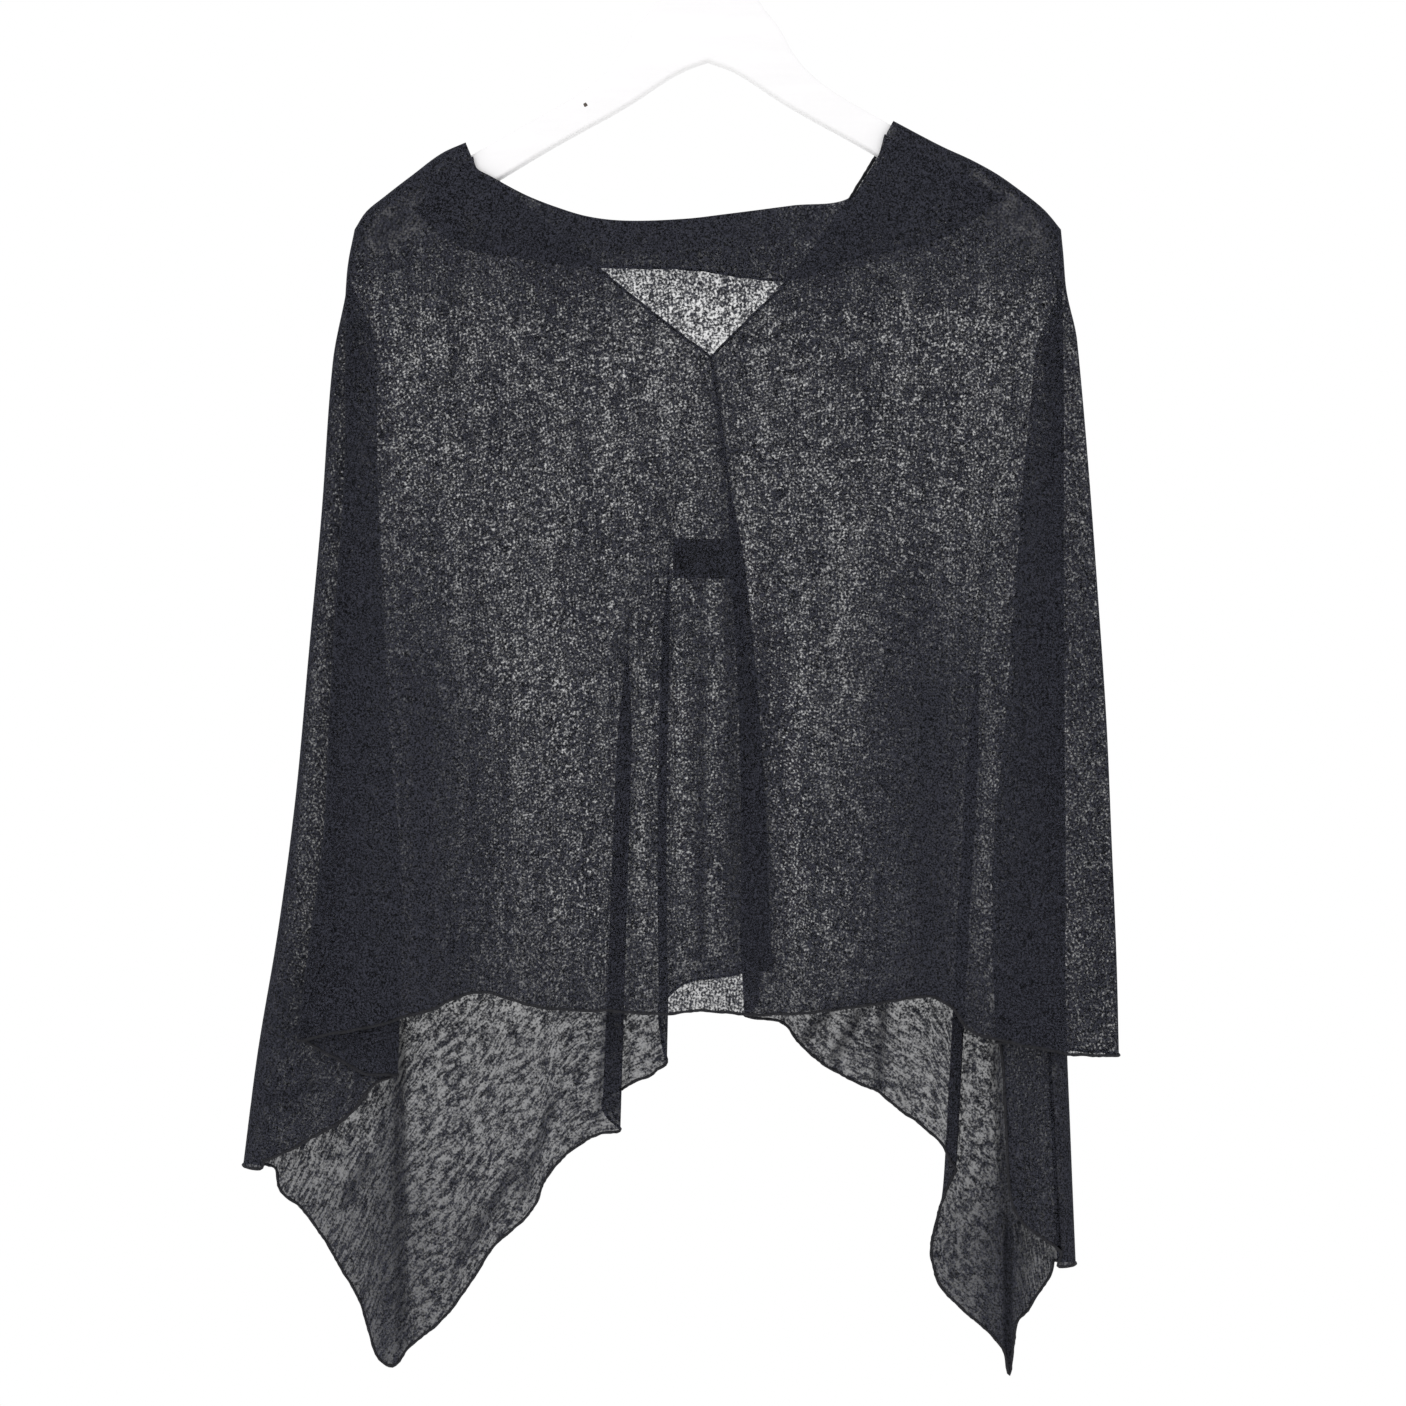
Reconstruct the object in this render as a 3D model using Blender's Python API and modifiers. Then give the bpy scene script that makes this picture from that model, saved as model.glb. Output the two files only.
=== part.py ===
# Sheer knit poncho hanging on a painted wooden hanger.
# Millimetres in the tables, metres in the model. X runs across, Z up, and the front faces -Y.
# The origin is the inner top of the hook, where a rail carries it.
import math

import bmesh
import bpy
import numpy as np

mm = 0.001

# Cloth
wallMm = 1.0
seamGapMm = 0.3
turnGapMm = 0.6  # between the pieces of a side, where the wall turns
shoulderShare = 0.14  # share of a side line's length that lies along the arm
wrapRadiusMm = 9.6  # half the cloth's depth where it passes over an arm
wrapEndShare = 0.163  # the side starts to fold in zigzags here
foldedShare = 0.26  # the zigzag is complete from here down
wrapSquareness = 0.5
wrapDegrees = (-90.0, -25.0, 25.0, 90.0)  # where the front, side and back pieces meet over the arm

# Neck edge turned in over the front
facingDepthMm = 2.6
neckBulgeMm = 8.0
neckBulgeHalfWidthMm = 125.0
neckBulgeDropMm = 260.0
neckBulgeUpMm = -210.0

# Mesh steps
frontColumns = 32
turnSteps = 4
layerRows = 18
facingRows = 3
neckTurnSteps = 4
backColumnMaxMm = 15.0
columnMinMm = 2.2
fineSteps = 800
neckEndPower = 4  # how soon the neck line bends to meet the side lines
hemEndPower = 40

# Turns of the back's pleats
pleatRadiusMm = 1.5
pleatGrownShare = 0.4  # share of its length over which a pleat opens
pleatEdgeShare = 0.02  # a pleat's column this close to the panel's edge is left out
leastTurn = 0.02  # radians, for a pleat that is still flat

# Places across half a pleat, as shares of its half width before it folds
turnStartShare = 0.14
turnEndShare = 0.36
flatEndShare = 0.5
pleatSteps = (0.14, 0.21, 0.285, 0.36, 0.5, 0.75, 1.0)

# Label
labelLeftMm = -22.0
labelRightMm = 17.5
labelTopMm = -408.0
labelBottomMm = -433.0
labelThickMm = 0.8
labelClearMm = 0.3
labelColumns = 6
labelRows = 4
labelReachMm = 7.0  # the back's nearest point within this reach carries the label
labelProbeSteps = 60

# Hanger
barThickMm = 12.0
barEdgeMm = 2.2
barEdgeSteps = 3
hookWireMm = 3.5
hookInnerRadiusMm = 20.0
hookHoleDepthMm = 16.0
hookHoleClearMm = 0.3
hookStartDeg = -42.0
hookEndDeg = 196.0
hookSteps = 28
hookBendSteps = 6
hookStraightMm = 3.0  # of shank above the bar
hookBendShare = 0.55
holeSides = 20

# Shoulder lines, from the neck point to the end of the arm: across, up
shoulderLeft = [
    (-152.5, -159.0),
    (-167.0, -165.5),
    (-186.0, -179.5),
    (-203.5, -193.0),
    (-215.5, -203.0),
    (-222.5, -214.0),
]
shoulderRight = [
    (117.0, -145.5),
    (148.5, -162.0),
    (165.0, -169.5),
    (181.5, -178.5),
    (196.5, -189.0),
    (212.5, -202.0),
    (222.5, -214.0),
]

# Side folds, a row for each share of the drop from the arm's end:
# share, front fold across and up, inner fold across and up, back fold across and up
leftFolds = [
    (0.00, -222.5, -214.0, -214.0, -220.5, -222.5, -214.0),
    (0.06, -227.0, -244.0, -207.0, -250.0, -230.5, -249.0),
    (0.15, -227.5, -290.0, -208.0, -298.5, -237.5, -302.0),
    (0.30, -228.0, -366.5, -207.0, -378.0, -244.0, -391.0),
    (0.45, -233.0, -443.0, -203.5, -457.0, -252.0, -479.5),
    (0.60, -237.0, -519.0, -199.5, -535.5, -260.0, -568.0),
    (0.75, -240.5, -595.5, -192.0, -614.0, -271.5, -656.5),
    (0.88, -249.0, -661.5, -192.0, -682.5, -284.0, -732.5),
    (1.00, -256.5, -722.0, -194.5, -745.5, -293.0, -803.0),
]
rightFolds = [
    (0.00, 222.5, -214.0, 214.0, -220.5, 222.5, -214.0),
    (0.06, 227.5, -245.0, 210.0, -250.5, 224.0, -253.0),
    (0.15, 232.5, -291.0, 205.5, -296.0, 225.0, -312.0),
    (0.30, 239.0, -368.5, 198.5, -371.5, 225.0, -409.5),
    (0.45, 244.5, -446.5, 192.5, -447.0, 225.5, -507.0),
    (0.60, 249.5, -524.0, 187.0, -522.5, 226.0, -605.0),
    (0.75, 252.5, -602.0, 179.5, -598.5, 226.0, -702.5),
    (0.88, 255.0, -669.0, 178.5, -664.0, 229.0, -787.0),
    (1.00, 256.5, -731.5, 180.5, -724.5, 232.0, -865.0),
]

# Depth of each layer by height: up, front, second, third, back
layerDepths = [
    (-1000.0, -26.0, -18.0, -11.5, 14.0),
    (-900.0, -26.0, -18.0, -11.5, 14.0),
    (-700.0, -24.0, -16.5, -10.5, 17.0),
    (-500.0, -18.0, -11.5, -5.5, 15.0),
    (-330.0, -13.0, -7.5, -1.8, 11.5),
    (-236.0, -9.6, -3.8, 2.0, 9.6),
    (-100.0, -9.6, -3.2, 3.2, 9.6),
]

# Neck edges: across, up
frontNeck = [
    (-147.0, -168.0),
    (-144.5, -177.0),
    (-135.5, -182.5),
    (-113.5, -194.5),
    (-95.0, -202.0),
    (-76.0, -208.0),
    (-55.5, -211.0),
    (-14.0, -210.5),
    (12.5, -207.5),
    (53.0, -202.0),
    (90.0, -196.5),
    (101.5, -181.5),
    (108.5, -170.0),
    (113.0, -155.0),
]
facingEdge = [
    (-187.5, -200.5),
    (-170.5, -215.0),
    (-153.5, -225.5),
    (-126.0, -230.5),
    (-78.0, -237.5),
    (-11.5, -240.5),
    (51.5, -246.5),
    (94.5, -232.0),
    (132.5, -223.5),
    (156.0, -215.0),
    (189.0, -193.0),
]
backNeckLeft = [
    (-147.0, -168.0),
    (-112.0, -199.5),
    (-68.0, -238.0),
    (-33.5, -266.0),
    (2.0, -293.0),
]
backNeckRight = [
    (2.0, -293.0),
    (26.5, -268.5),
    (49.0, -246.5),
    (83.0, -203.0),
    (104.5, -170.0),
    (113.0, -155.0),
]
seamTopMm = -293.0
seamHemMm = -659.5
seamPleat = 2  # its row among the pleats, whose middle the seam follows

# Lower edges: across, up
frontHem = [
    (-254.0, -722.0),
    (-232.0, -717.5),
    (-206.5, -713.0),
    (-187.5, -707.0),
    (-172.5, -703.0),
    (-153.5, -694.5),
    (-138.5, -692.5),
    (-112.0, -699.5),
    (-89.5, -703.0),
    (-63.0, -703.5),
    (-25.0, -705.5),
    (-5.0, -703.5),
    (24.0, -706.0),
    (46.5, -706.0),
    (77.0, -703.5),
    (114.5, -697.5),
    (137.5, -695.0),
    (152.5, -702.0),
    (162.5, -715.5),
    (184.0, -722.5),
    (209.0, -727.5),
    (228.0, -731.0),
    (254.0, -731.5),
]
leftSecondHem = [
    (-254.0, -723.0),
    (-243.0, -728.5),
    (-228.5, -736.0),
    (-214.0, -743.5),
    (-197.0, -744.5),
]
leftThirdHem = [
    (-197.0, -746.0),
    (-210.5, -752.0),
    (-225.5, -771.0),
    (-248.0, -784.5),
    (-269.0, -795.5),
    (-290.5, -803.0),
]
rightSecondHem = [
    (254.0, -730.0),
    (238.0, -729.5),
    (222.0, -728.0),
    (205.0, -726.0),
    (186.5, -724.5),
]
rightThirdHem = [
    (185.0, -727.0),
    (186.5, -759.0),
    (188.0, -791.0),
    (190.0, -823.0),
    (198.0, -838.5),
    (209.0, -846.5),
    (220.0, -855.0),
    (229.5, -864.5),
]
backLeftHem = [
    (-290.5, -804.0),
    (-278.5, -807.5),
    (-273.0, -820.5),
    (-259.5, -831.5),
    (-244.5, -850.5),
    (-233.0, -869.5),
    (-222.0, -888.5),
    (-214.0, -911.0),
    (-208.5, -925.5),
    (-199.0, -930.5),
    (-188.5, -919.0),
    (-169.0, -903.5),
    (-150.0, -879.0),
    (-135.0, -856.0),
    (-118.0, -841.0),
    (-108.5, -828.0),
    (-103.5, -814.5),
    (-90.5, -799.0),
    (-74.5, -788.0),
    (-63.5, -781.0),
    (-58.0, -768.5),
    (-54.0, -758.5),
    (-46.5, -752.0),
    (-37.0, -748.5),
    (-32.0, -741.0),
    (-27.5, -721.5),
    (-24.5, -701.0),
    (-17.0, -691.0),
    (1.5, -686.5),
    (19.0, -683.5),
    (24.0, -680.5),
    (26.5, -672.0),
    (30.0, -659.5),
]
backRightHem = [
    (30.0, -659.5),
    (31.5, -674.0),
    (32.5, -690.0),
    (36.0, -707.0),
    (50.5, -716.5),
    (58.0, -727.0),
    (73.0, -741.0),
    (92.0, -752.0),
    (107.0, -758.0),
    (126.0, -773.0),
    (139.0, -782.5),
    (146.0, -792.0),
    (149.0, -806.0),
    (153.0, -815.0),
    (156.0, -830.0),
    (157.0, -850.0),
    (158.0, -868.0),
    (160.0, -884.0),
    (166.0, -897.0),
    (179.0, -911.0),
    (187.0, -920.5),
    (190.5, -937.0),
    (194.0, -915.0),
    (196.5, -903.0),
    (204.0, -897.0),
    (208.0, -890.0),
    (218.0, -880.5),
    (230.0, -872.0),
]

# Pleats of the back that overlap: across at top, up at top, across at hem, up at hem, sideways bow,
# half width at top and hem, overlap at top and hem, share grown at the top
backPleats = [
    (-48.0, -400.0, -61.0, -770.0, 0.0, 10.0, 14.0, 8.0, 12.0, 0.0),
    (-20.0, -345.0, -28.0, -700.0, -4.0, 9.0, 9.5, 5.0, 6.0, 0.0),
    (2.0, -293.0, 30.0, -659.5, 7.5, 9.0, 22.0, 4.0, 19.0, 0.0),
    (176.0, -400.0, 153.5, -819.0, 0.0, 14.0, 15.0, 7.0, 7.5, 0.0),
]

# Soft folds that only move the cloth in depth:
# across at top, up at top, across at hem, up at hem, half width, depth at hem (minus is toward the front)
frontFolds = [
    (-150.0, -330.0, -152.0, -700.0, 26.0, 4.5),
    (-104.0, -420.0, -108.0, -700.0, 24.0, -4.0),
    (-30.0, -300.0, -38.0, -705.0, 34.0, -3.5),
    (38.0, -420.0, 44.0, -706.0, 24.0, 3.0),
    (98.0, -300.0, 112.0, -700.0, 32.0, -4.0),
    (146.0, -400.0, 150.0, -704.0, 20.0, 4.5),
]
backFolds = [
    (-190.0, -560.0, -199.0, -925.0, 26.0, -9.0),
    (-140.0, -560.0, -140.0, -860.0, 26.0, 5.0),
    (-95.0, -480.0, -100.0, -800.0, 22.0, -5.0),
    (62.0, -480.0, 58.0, -727.0, 16.0, -4.5),
    (92.0, -430.0, 88.0, -750.0, 18.0, 5.0),
    (122.0, -480.0, 116.0, -765.0, 16.0, -4.5),
    (196.0, -600.0, 190.0, -937.0, 18.0, -7.0),
]

# Where the right tip's hem swings out past the cloth above it:
# across, up, half width, half height, swing across
tipSwing = (148.0, -871.0, 34.0, 28.0, -11.5)

# Outline of one half of the hanger's bar, from the top of the hump round the arm's end
# and back along the lower edge: across, up
barOutline = [
    (0.0, -50.0),
    (12.0, -51.0),
    (23.0, -56.0),
    (31.5, -69.0),
    (36.0, -76.0),
    (44.0, -86.0),
    (55.0, -105.0),
    (64.0, -115.5),
    (77.0, -126.0),
    (110.0, -145.5),
    (145.0, -165.5),
    (166.0, -177.0),
    (186.0, -188.0),
    (202.0, -199.0),
    (211.0, -207.5),
    (215.5, -216.5),
    (215.0, -225.0),
    (209.5, -229.5),
    (201.5, -228.0),
    (186.0, -216.5),
    (166.0, -203.0),
    (135.0, -184.5),
    (100.0, -163.5),
    (50.0, -135.5),
    (16.0, -114.0),
    (0.0, -108.0),
]

# Colours: node, red, green, blue, roughness, metallic
paints = {
    "front_panel": (0.012, 0.012, 0.015, 0.85, 0.0),
    "left_side_fold": (0.012, 0.012, 0.015, 0.85, 0.0),
    "right_side_fold": (0.012, 0.012, 0.015, 0.85, 0.0),
    "back_left_panel": (0.012, 0.012, 0.015, 0.85, 0.0),
    "back_right_panel": (0.012, 0.012, 0.015, 0.85, 0.0),
    "label": (0.008, 0.008, 0.010, 0.7, 0.0),
    "hanger_bar": (0.86, 0.86, 0.85, 0.35, 0.0),
    "hanger_hook": (0.62, 0.62, 0.63, 0.25, 1.0),
}


# A smooth line through the rows, read by its share of the length
def lineThrough(rows):
    points = np.array(rows, float)
    steps = np.linalg.norm(np.diff(points, axis=0), axis=1)
    at = np.concatenate([[0.0], np.cumsum(steps)]) / steps.sum()
    return smoothRead(at, points), at


# Values between the rows of a table, with an even slope through each row
def smoothRead(at, values):
    rise = np.diff(values, axis=0) / np.diff(at)[:, None]
    slope = np.concatenate([rise[:1], (rise[1:] + rise[:-1]) / 2, rise[-1:]])

    def read(share):
        share = np.atleast_1d(np.asarray(share, float))
        i = np.clip(np.searchsorted(at, share, side="right") - 1, 0, len(at) - 2)
        wide = (at[i + 1] - at[i])[:, None]
        t = np.clip((share - at[i])[:, None] / wide, 0.0, 1.0)
        start = (2 * t**3 - 3 * t**2 + 1) * values[i] + (t**3 - 2 * t**2 + t) * wide * slope[i]
        end = (3 * t**2 - 2 * t**3) * values[i + 1] + (t**3 - t**2) * wide * slope[i + 1]
        return start + end

    return read


def smoothStep(low, high, value):
    t = np.clip((value - low) / (high - low), 0.0, 1.0)
    return t * t * (3 - 2 * t)


# A side line: along the arm first, then down its fold
def sideLine(shoulder, folds, acrossColumn):
    table = np.array(folds, float)
    along, _ = lineThrough(shoulder)
    down = smoothRead(table[:, 0], table[:, acrossColumn : acrossColumn + 2])

    def read(share):
        share = np.atleast_1d(np.asarray(share, float))
        arm = along(np.clip(share / shoulderShare, 0, 1))
        drop = down(np.clip((share - shoulderShare) / (1 - shoulderShare), 0, 1))
        return np.where((share < shoulderShare)[:, None], arm, drop)

    return read


# The way out of the cloth, square to a side line
def outward(line, share, side):
    near = line(np.clip(share - 0.01, 0, 1))
    far = line(np.clip(share + 0.01, 0, 1))
    run = far - near
    run /= np.linalg.norm(run, axis=1)[:, None]
    square = np.stack([run[:, 1], -run[:, 0]], axis=1)
    return square * np.sign(square[:, :1] * side)


depthTable = np.array(layerDepths, float)


def depthOf(layer, up):
    return np.interp(up, depthTable[:, 0], depthTable[:, layer])


# How far along a fold's own line a point lies, and how far across it
def besideFold(fold, across, up, bow=0.0):
    acrossTop, upTop, acrossHem, upHem = fold[:4]
    down = np.clip((up - upTop) / (upHem - upTop), 0.0, 1.15)
    middle = acrossTop + (acrossHem - acrossTop) * down + bow * 4 * down * (1 - np.minimum(down, 1))
    return down, across - middle


def softFold(fold, across, up):
    down, beside = besideFold(fold, across, up)
    halfWidth, depth = fold[4:6]
    bell = np.cos(np.clip(beside / halfWidth, -1, 1) * math.pi / 2) ** 2
    return depth * bell * smoothStep(0, 1, down)


# How wide a pleat is at a point, how far across it the point lies, and how far it has grown
def acrossPleat(pleat, across, up):
    bow, wideTop, wideHem = pleat[4:7]
    down, beside = besideFold(pleat, across, up, bow)
    wide = wideTop + (wideHem - wideTop) * down
    grown = pleat[9] + (1 - pleat[9]) * smoothStep(0, pleatGrownShare, down)
    return wide, beside / wide, grown, down


# How far an overlapping pleat moves the cloth across and in depth: from its middle layer,
# round a turn that opens with the pleat, along its outer layer and back to the flat cloth
def overlap(pleat, across, up):
    wide, t, grown, down = acrossPleat(pleat, across, up)
    half = (pleat[7] + (pleat[8] - pleat[7]) * down) / 2
    at, away = np.minimum(np.abs(t), 1), np.sign(t)
    angle = np.maximum(math.pi * grown, leastTurn)
    turned = angle * (1 - np.clip((at - turnStartShare) / (turnEndShare - turnStartShare), 0, 1))
    radius = np.maximum(pleatRadiusMm, (turnEndShare - turnStartShare) * wide / angle)
    middle = turnStartShare * wide * (1 - grown) + (half - pleatRadiusMm) * grown
    middle = middle * np.clip(at / turnStartShare, 0, 1)
    sideways = middle * np.cos(angle) + radius * (np.sin(angle) - np.sin(turned))
    deep = middle * np.sin(angle) + radius * (np.cos(turned) - np.cos(angle))
    flatEnd = flatEndShare * wide * (1 - grown) + half * grown
    flat = np.clip((at - turnEndShare) / (flatEndShare - turnEndShare), 0, 1)
    sideways = sideways + (flatEnd - sideways) * np.where(at > turnEndShare, flat, 0)
    beyond = np.clip((at - flatEndShare) / (1 - flatEndShare), 0, 1)
    sideways = sideways + (wide - flatEnd) * beyond
    deep = deep * (1 - smoothStep(0, 1, beyond))
    return away * (sideways - at * wide), away * deep


def frontDepth(across, up):
    deep = depthOf(1, up)
    beside = np.clip(across / neckBulgeHalfWidthMm, -1, 1)
    below = np.clip((up - neckBulgeUpMm) / neckBulgeDropMm, -1, 1)
    bulge = np.cos(beside * math.pi / 2) ** 2 * np.cos(below * math.pi / 2) ** 2
    deep = deep - neckBulgeMm * bulge
    for fold in frontFolds:
        deep = deep + softFold(fold, across, up)
    return deep


# Place a point of the back: across, depth, up
def backPoint(flat):
    across, up = flat[..., 0], flat[..., 1]
    deep = depthOf(4, up)
    for fold in backFolds:
        deep = deep + softFold(fold, across, up)
    slipAcross = np.zeros_like(across)
    for pleat in backPleats:
        slip, step = overlap(pleat, across, up)
        slipAcross = slipAcross + slip
        deep = deep + step
    middle, height, halfWidth, halfHeight, swing = tipSwing
    bell = np.exp(-(((across - middle) / halfWidth) ** 2) - ((up - height) / halfHeight) ** 2)
    return np.stack([across + slipAcross + swing * bell, deep, up], axis=-1)


# Fill between four edge lines
def between(top, bottom, left, right, across, down):
    u = across[None, :, None]
    v = down[:, None, None]
    topLine = top(across)
    bottomLine = bottom(across)
    topLine = topLine + (left(0.0) - topLine[0]) * (1 - across[:, None]) ** neckEndPower
    topLine = topLine + (right(0.0) - topLine[-1]) * across[:, None] ** neckEndPower
    bottomLine = bottomLine + (left(1.0) - bottomLine[0]) * (1 - across[:, None]) ** hemEndPower
    bottomLine = bottomLine + (right(1.0) - bottomLine[-1]) * across[:, None] ** hemEndPower
    sides = (1 - u) * left(down)[:, None, :] + u * right(down)[:, None, :]
    ends = (1 - v) * topLine[None] + v * bottomLine[None]
    upper = (1 - u) * topLine[0] + u * topLine[-1]
    lower = (1 - u) * bottomLine[0] + u * bottomLine[-1]
    return sides + ends - (1 - v) * upper - v * lower


# One side of the poncho, from the front layer round its folds to the back layer
class Side:
    def __init__(self, shoulder, folds, side):
        self.side = side
        self.front = sideLine(shoulder, folds, 1)
        self.inner = sideLine(shoulder, folds, 3)
        self.back = sideLine(shoulder, folds, 5)

    def folded(self, share):
        return smoothStep(wrapEndShare, foldedShare, share)

    # Radii of the front, inner and back turns
    def radii(self, share):
        lines = (self.front, self.inner, self.back)
        ups = [line(share)[:, 1] for line in lines]
        return [(depthOf(k + 2, up) - depthOf(k + 1, up)) / 2 for k, up in enumerate(ups)]

    # Where the flat front layer ends and its turn begins
    def frontEdge(self, share):
        share = np.atleast_1d(np.asarray(share, float))
        folded = self.folded(share)
        inset = wrapRadiusMm * (1 - folded) + self.radii(share)[0] * folded
        return self.front(share) - outward(self.front, share, self.side) * inset[:, None]

    def backEdge(self, share):
        share = np.atleast_1d(np.asarray(share, float))
        folded = self.folded(share)
        inset = wrapRadiusMm * (1 - folded) + self.radii(share)[2] * folded
        return self.back(share) - outward(self.back, share, self.side) * inset[:, None]

    # The turns and the two hidden layers, row by row: across, depth, up
    def path(self, shares, secondHem, thirdHem):
        out = outward(self.front, shares, self.side)
        outBack = outward(self.back, shares, self.side)
        front, inner, back = self.front(shares), self.inner(shares), self.back(shares)
        first, second, third = (r[:, None] for r in self.radii(shares))
        columns = self.turn(front, -out, 1)
        columns += self.layer(shares, front - out * first, inner + out * second, secondHem, 2)
        columns += self.turn(inner, out, 2)
        columns += self.layer(shares, inner + out * second, back - outBack * third, thirdHem, 3)
        columns += self.turn(back, -outBack, 3)
        zigzag = np.stack(columns, axis=1)
        return self.overArm(zigzag, shares)

    # A round turn from one layer to the next behind it
    def turn(self, line, inward, layer):
        near, far = (depthOf(k, line[:, 1])[:, None] for k in (layer, layer + 1))
        radius = (far - near) / 2
        columns = []
        for angle in np.linspace(-math.pi / 2, math.pi / 2, turnSteps + 1):
            flat = line + inward * radius * (1 - math.cos(angle))
            deep = (near + far) / 2 + radius * math.sin(angle)
            columns.append(np.concatenate([flat[:, :1], deep, flat[:, 1:]], axis=1))
        return columns

    # A hidden layer hangs between two folds, a column to each row of its own hem
    def layer(self, shares, start, end, hem, layer):
        drop = np.clip((shares - shoulderShare) / (1 - shoulderShare), 0, 1)
        columns = []
        for k in range(1, len(hem) - 1):
            run = k / (len(hem) - 1)
            flat = start * (1 - run) + end * run
            flat = flat + (np.array(hem[k]) - flat[-1]) * drop[:, None]
            columns.append(np.stack([flat[:, 0], depthOf(layer, flat[:, 1]), flat[:, 1]], axis=1))
        return columns

    # Above the arm's end the same columns lie close together over the arm
    def overArm(self, zigzag, shares):
        count = zigzag.shape[1]
        split = turnSteps + 1
        knots = (0, split, count - 1 - split, count - 1)
        angle = np.radians(np.interp(range(count), knots, wrapDegrees))
        middle = (self.front(shares) + self.back(shares)) / 2
        out = outward(self.front, shares, self.side)
        drop = wrapRadiusMm * (np.cos(angle) ** wrapSquareness - 1)
        flat = middle[:, None, :] + out[:, None, :] * drop[None, :, None]
        deep = np.broadcast_to(wrapRadiusMm * np.sin(angle), flat.shape[:2])
        wrap = np.stack([flat[..., 0], deep, flat[..., 1]], axis=-1)
        folded = self.folded(shares)[:, None, None]
        path = wrap * (1 - folded) + zigzag * folded
        for column in (split, count - 1 - split):
            path[:, column] = (path[:, column - 1] + path[:, column + 1]) / 2
        return path


# Shares of the hem at its rows, with more between them where the step is wide
def hemShares(hem, widest):
    rows = np.array(hem, float)
    _, at = lineThrough(hem)
    length = np.linalg.norm(np.diff(rows, axis=0), axis=1).sum()
    shares = list(at)
    for a, b in zip(at[:-1], at[1:]):
        extra = int((b - a) * length / widest)
        shares += [a + (b - a) * k / (extra + 1) for k in range(1, extra + 1)]
    return np.array(sorted(shares))


# A back panel whose columns run along its pleats
def pleatedPanel(top, bottom, left, right, hem, rows):
    fine = np.linspace(0, 1, fineSteps + 1)
    flat = between(top, bottom, left, right, fine, rows)
    steps = np.array([-step for step in reversed(pleatSteps)] + [0.0] + list(pleatSteps))
    knots = [np.zeros(len(rows))]
    for pleat in sorted(backPleats, key=lambda row: row[2]):
        _, t, _, _ = acrossPleat(pleat, flat[-1, :, 0], flat[-1, :, 1])
        here = steps[(steps > t[0] + pleatEdgeShare) & (steps < t[-1] - pleatEdgeShare)]
        if not len(here):
            continue
        at = np.zeros((len(here), len(rows)))
        for row in reversed(range(len(rows))):
            _, t, _, _ = acrossPleat(pleat, flat[row, :, 0], flat[row, :, 1])
            inside = t[0] + pleatEdgeShare < here[0] and here[-1] < t[-1] - pleatEdgeShare
            climb = np.maximum.accumulate(t + fine * 1e-6)
            at[:, row] = np.interp(here, climb, fine) if inside else at[:, row + 1]
        knots += list(at)
    knots.append(np.ones(len(rows)))
    knots = np.array(knots)
    shares = list(knots[:, -1])
    length = np.linalg.norm(np.diff(np.array(hem, float), axis=0), axis=1).sum()
    for share in hemShares(hem, backColumnMaxMm):
        if min(abs(share - other) for other in shares) * length > columnMinMm:
            shares.append(share)
    shares = np.array(sorted(shares))
    grid = np.zeros((len(rows), len(shares), 2))
    for row in range(len(rows)):
        place = np.interp(shares, knots[:, -1], knots[:, row])
        grid[row, :, 0] = np.interp(place, fine, flat[row, :, 0])
        grid[row, :, 1] = np.interp(place, fine, flat[row, :, 1])
    return backPoint(grid)


# Pull the ends of a strip of columns in, so that neighbours stay a gap apart
def trimmed(grid, startGap, endGap):
    grid = grid.copy()
    for here, near, gap in ((0, 1, startGap), (-1, -2, endGap)):
        way = grid[:, near] - grid[:, here]
        way /= np.linalg.norm(way, axis=1)[:, None]
        grid[:, here] += way * gap / 2
    return grid


def newObject(name, mesh):
    owner = bpy.data.objects.new(name, mesh)
    group = bpy.data.collections.new(name)
    bpy.context.scene.collection.children.link(group)
    group.objects.link(owner)
    red, green, blue, roughness, metallic = paints[name]
    material = bpy.data.materials.new(name + "_material")
    material.use_nodes = True
    surface = material.node_tree.nodes["Principled BSDF"]
    surface.inputs["Base Color"].default_value = (red, green, blue, 1)
    surface.inputs["Roughness"].default_value = roughness
    surface.inputs["Metallic"].default_value = metallic
    mesh.materials.append(material)
    return owner


# An open surface from strips of points that share their edge points, then its wall
def clothObject(name, strips, thick):
    work = bmesh.new()
    for grid in strips:
        rows = [[work.verts.new(tuple(point * mm)) for point in row] for row in grid]
        for upper, lower in zip(rows[:-1], rows[1:]):
            for a, b, c, d in zip(upper[:-1], upper[1:], lower[1:], lower[:-1]):
                work.faces.new((a, b, c, d))
    bmesh.ops.remove_doubles(work, verts=work.verts, dist=0.00002)
    bmesh.ops.recalc_face_normals(work, faces=work.faces)
    mesh = bpy.data.meshes.new(name)
    work.to_mesh(mesh)
    work.free()
    mesh.shade_smooth()
    owner = newObject(name, mesh)
    wall = owner.modifiers.new("Wall", "SOLIDIFY")
    wall.thickness = thick * mm
    wall.offset = 0.0
    return owner


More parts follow.
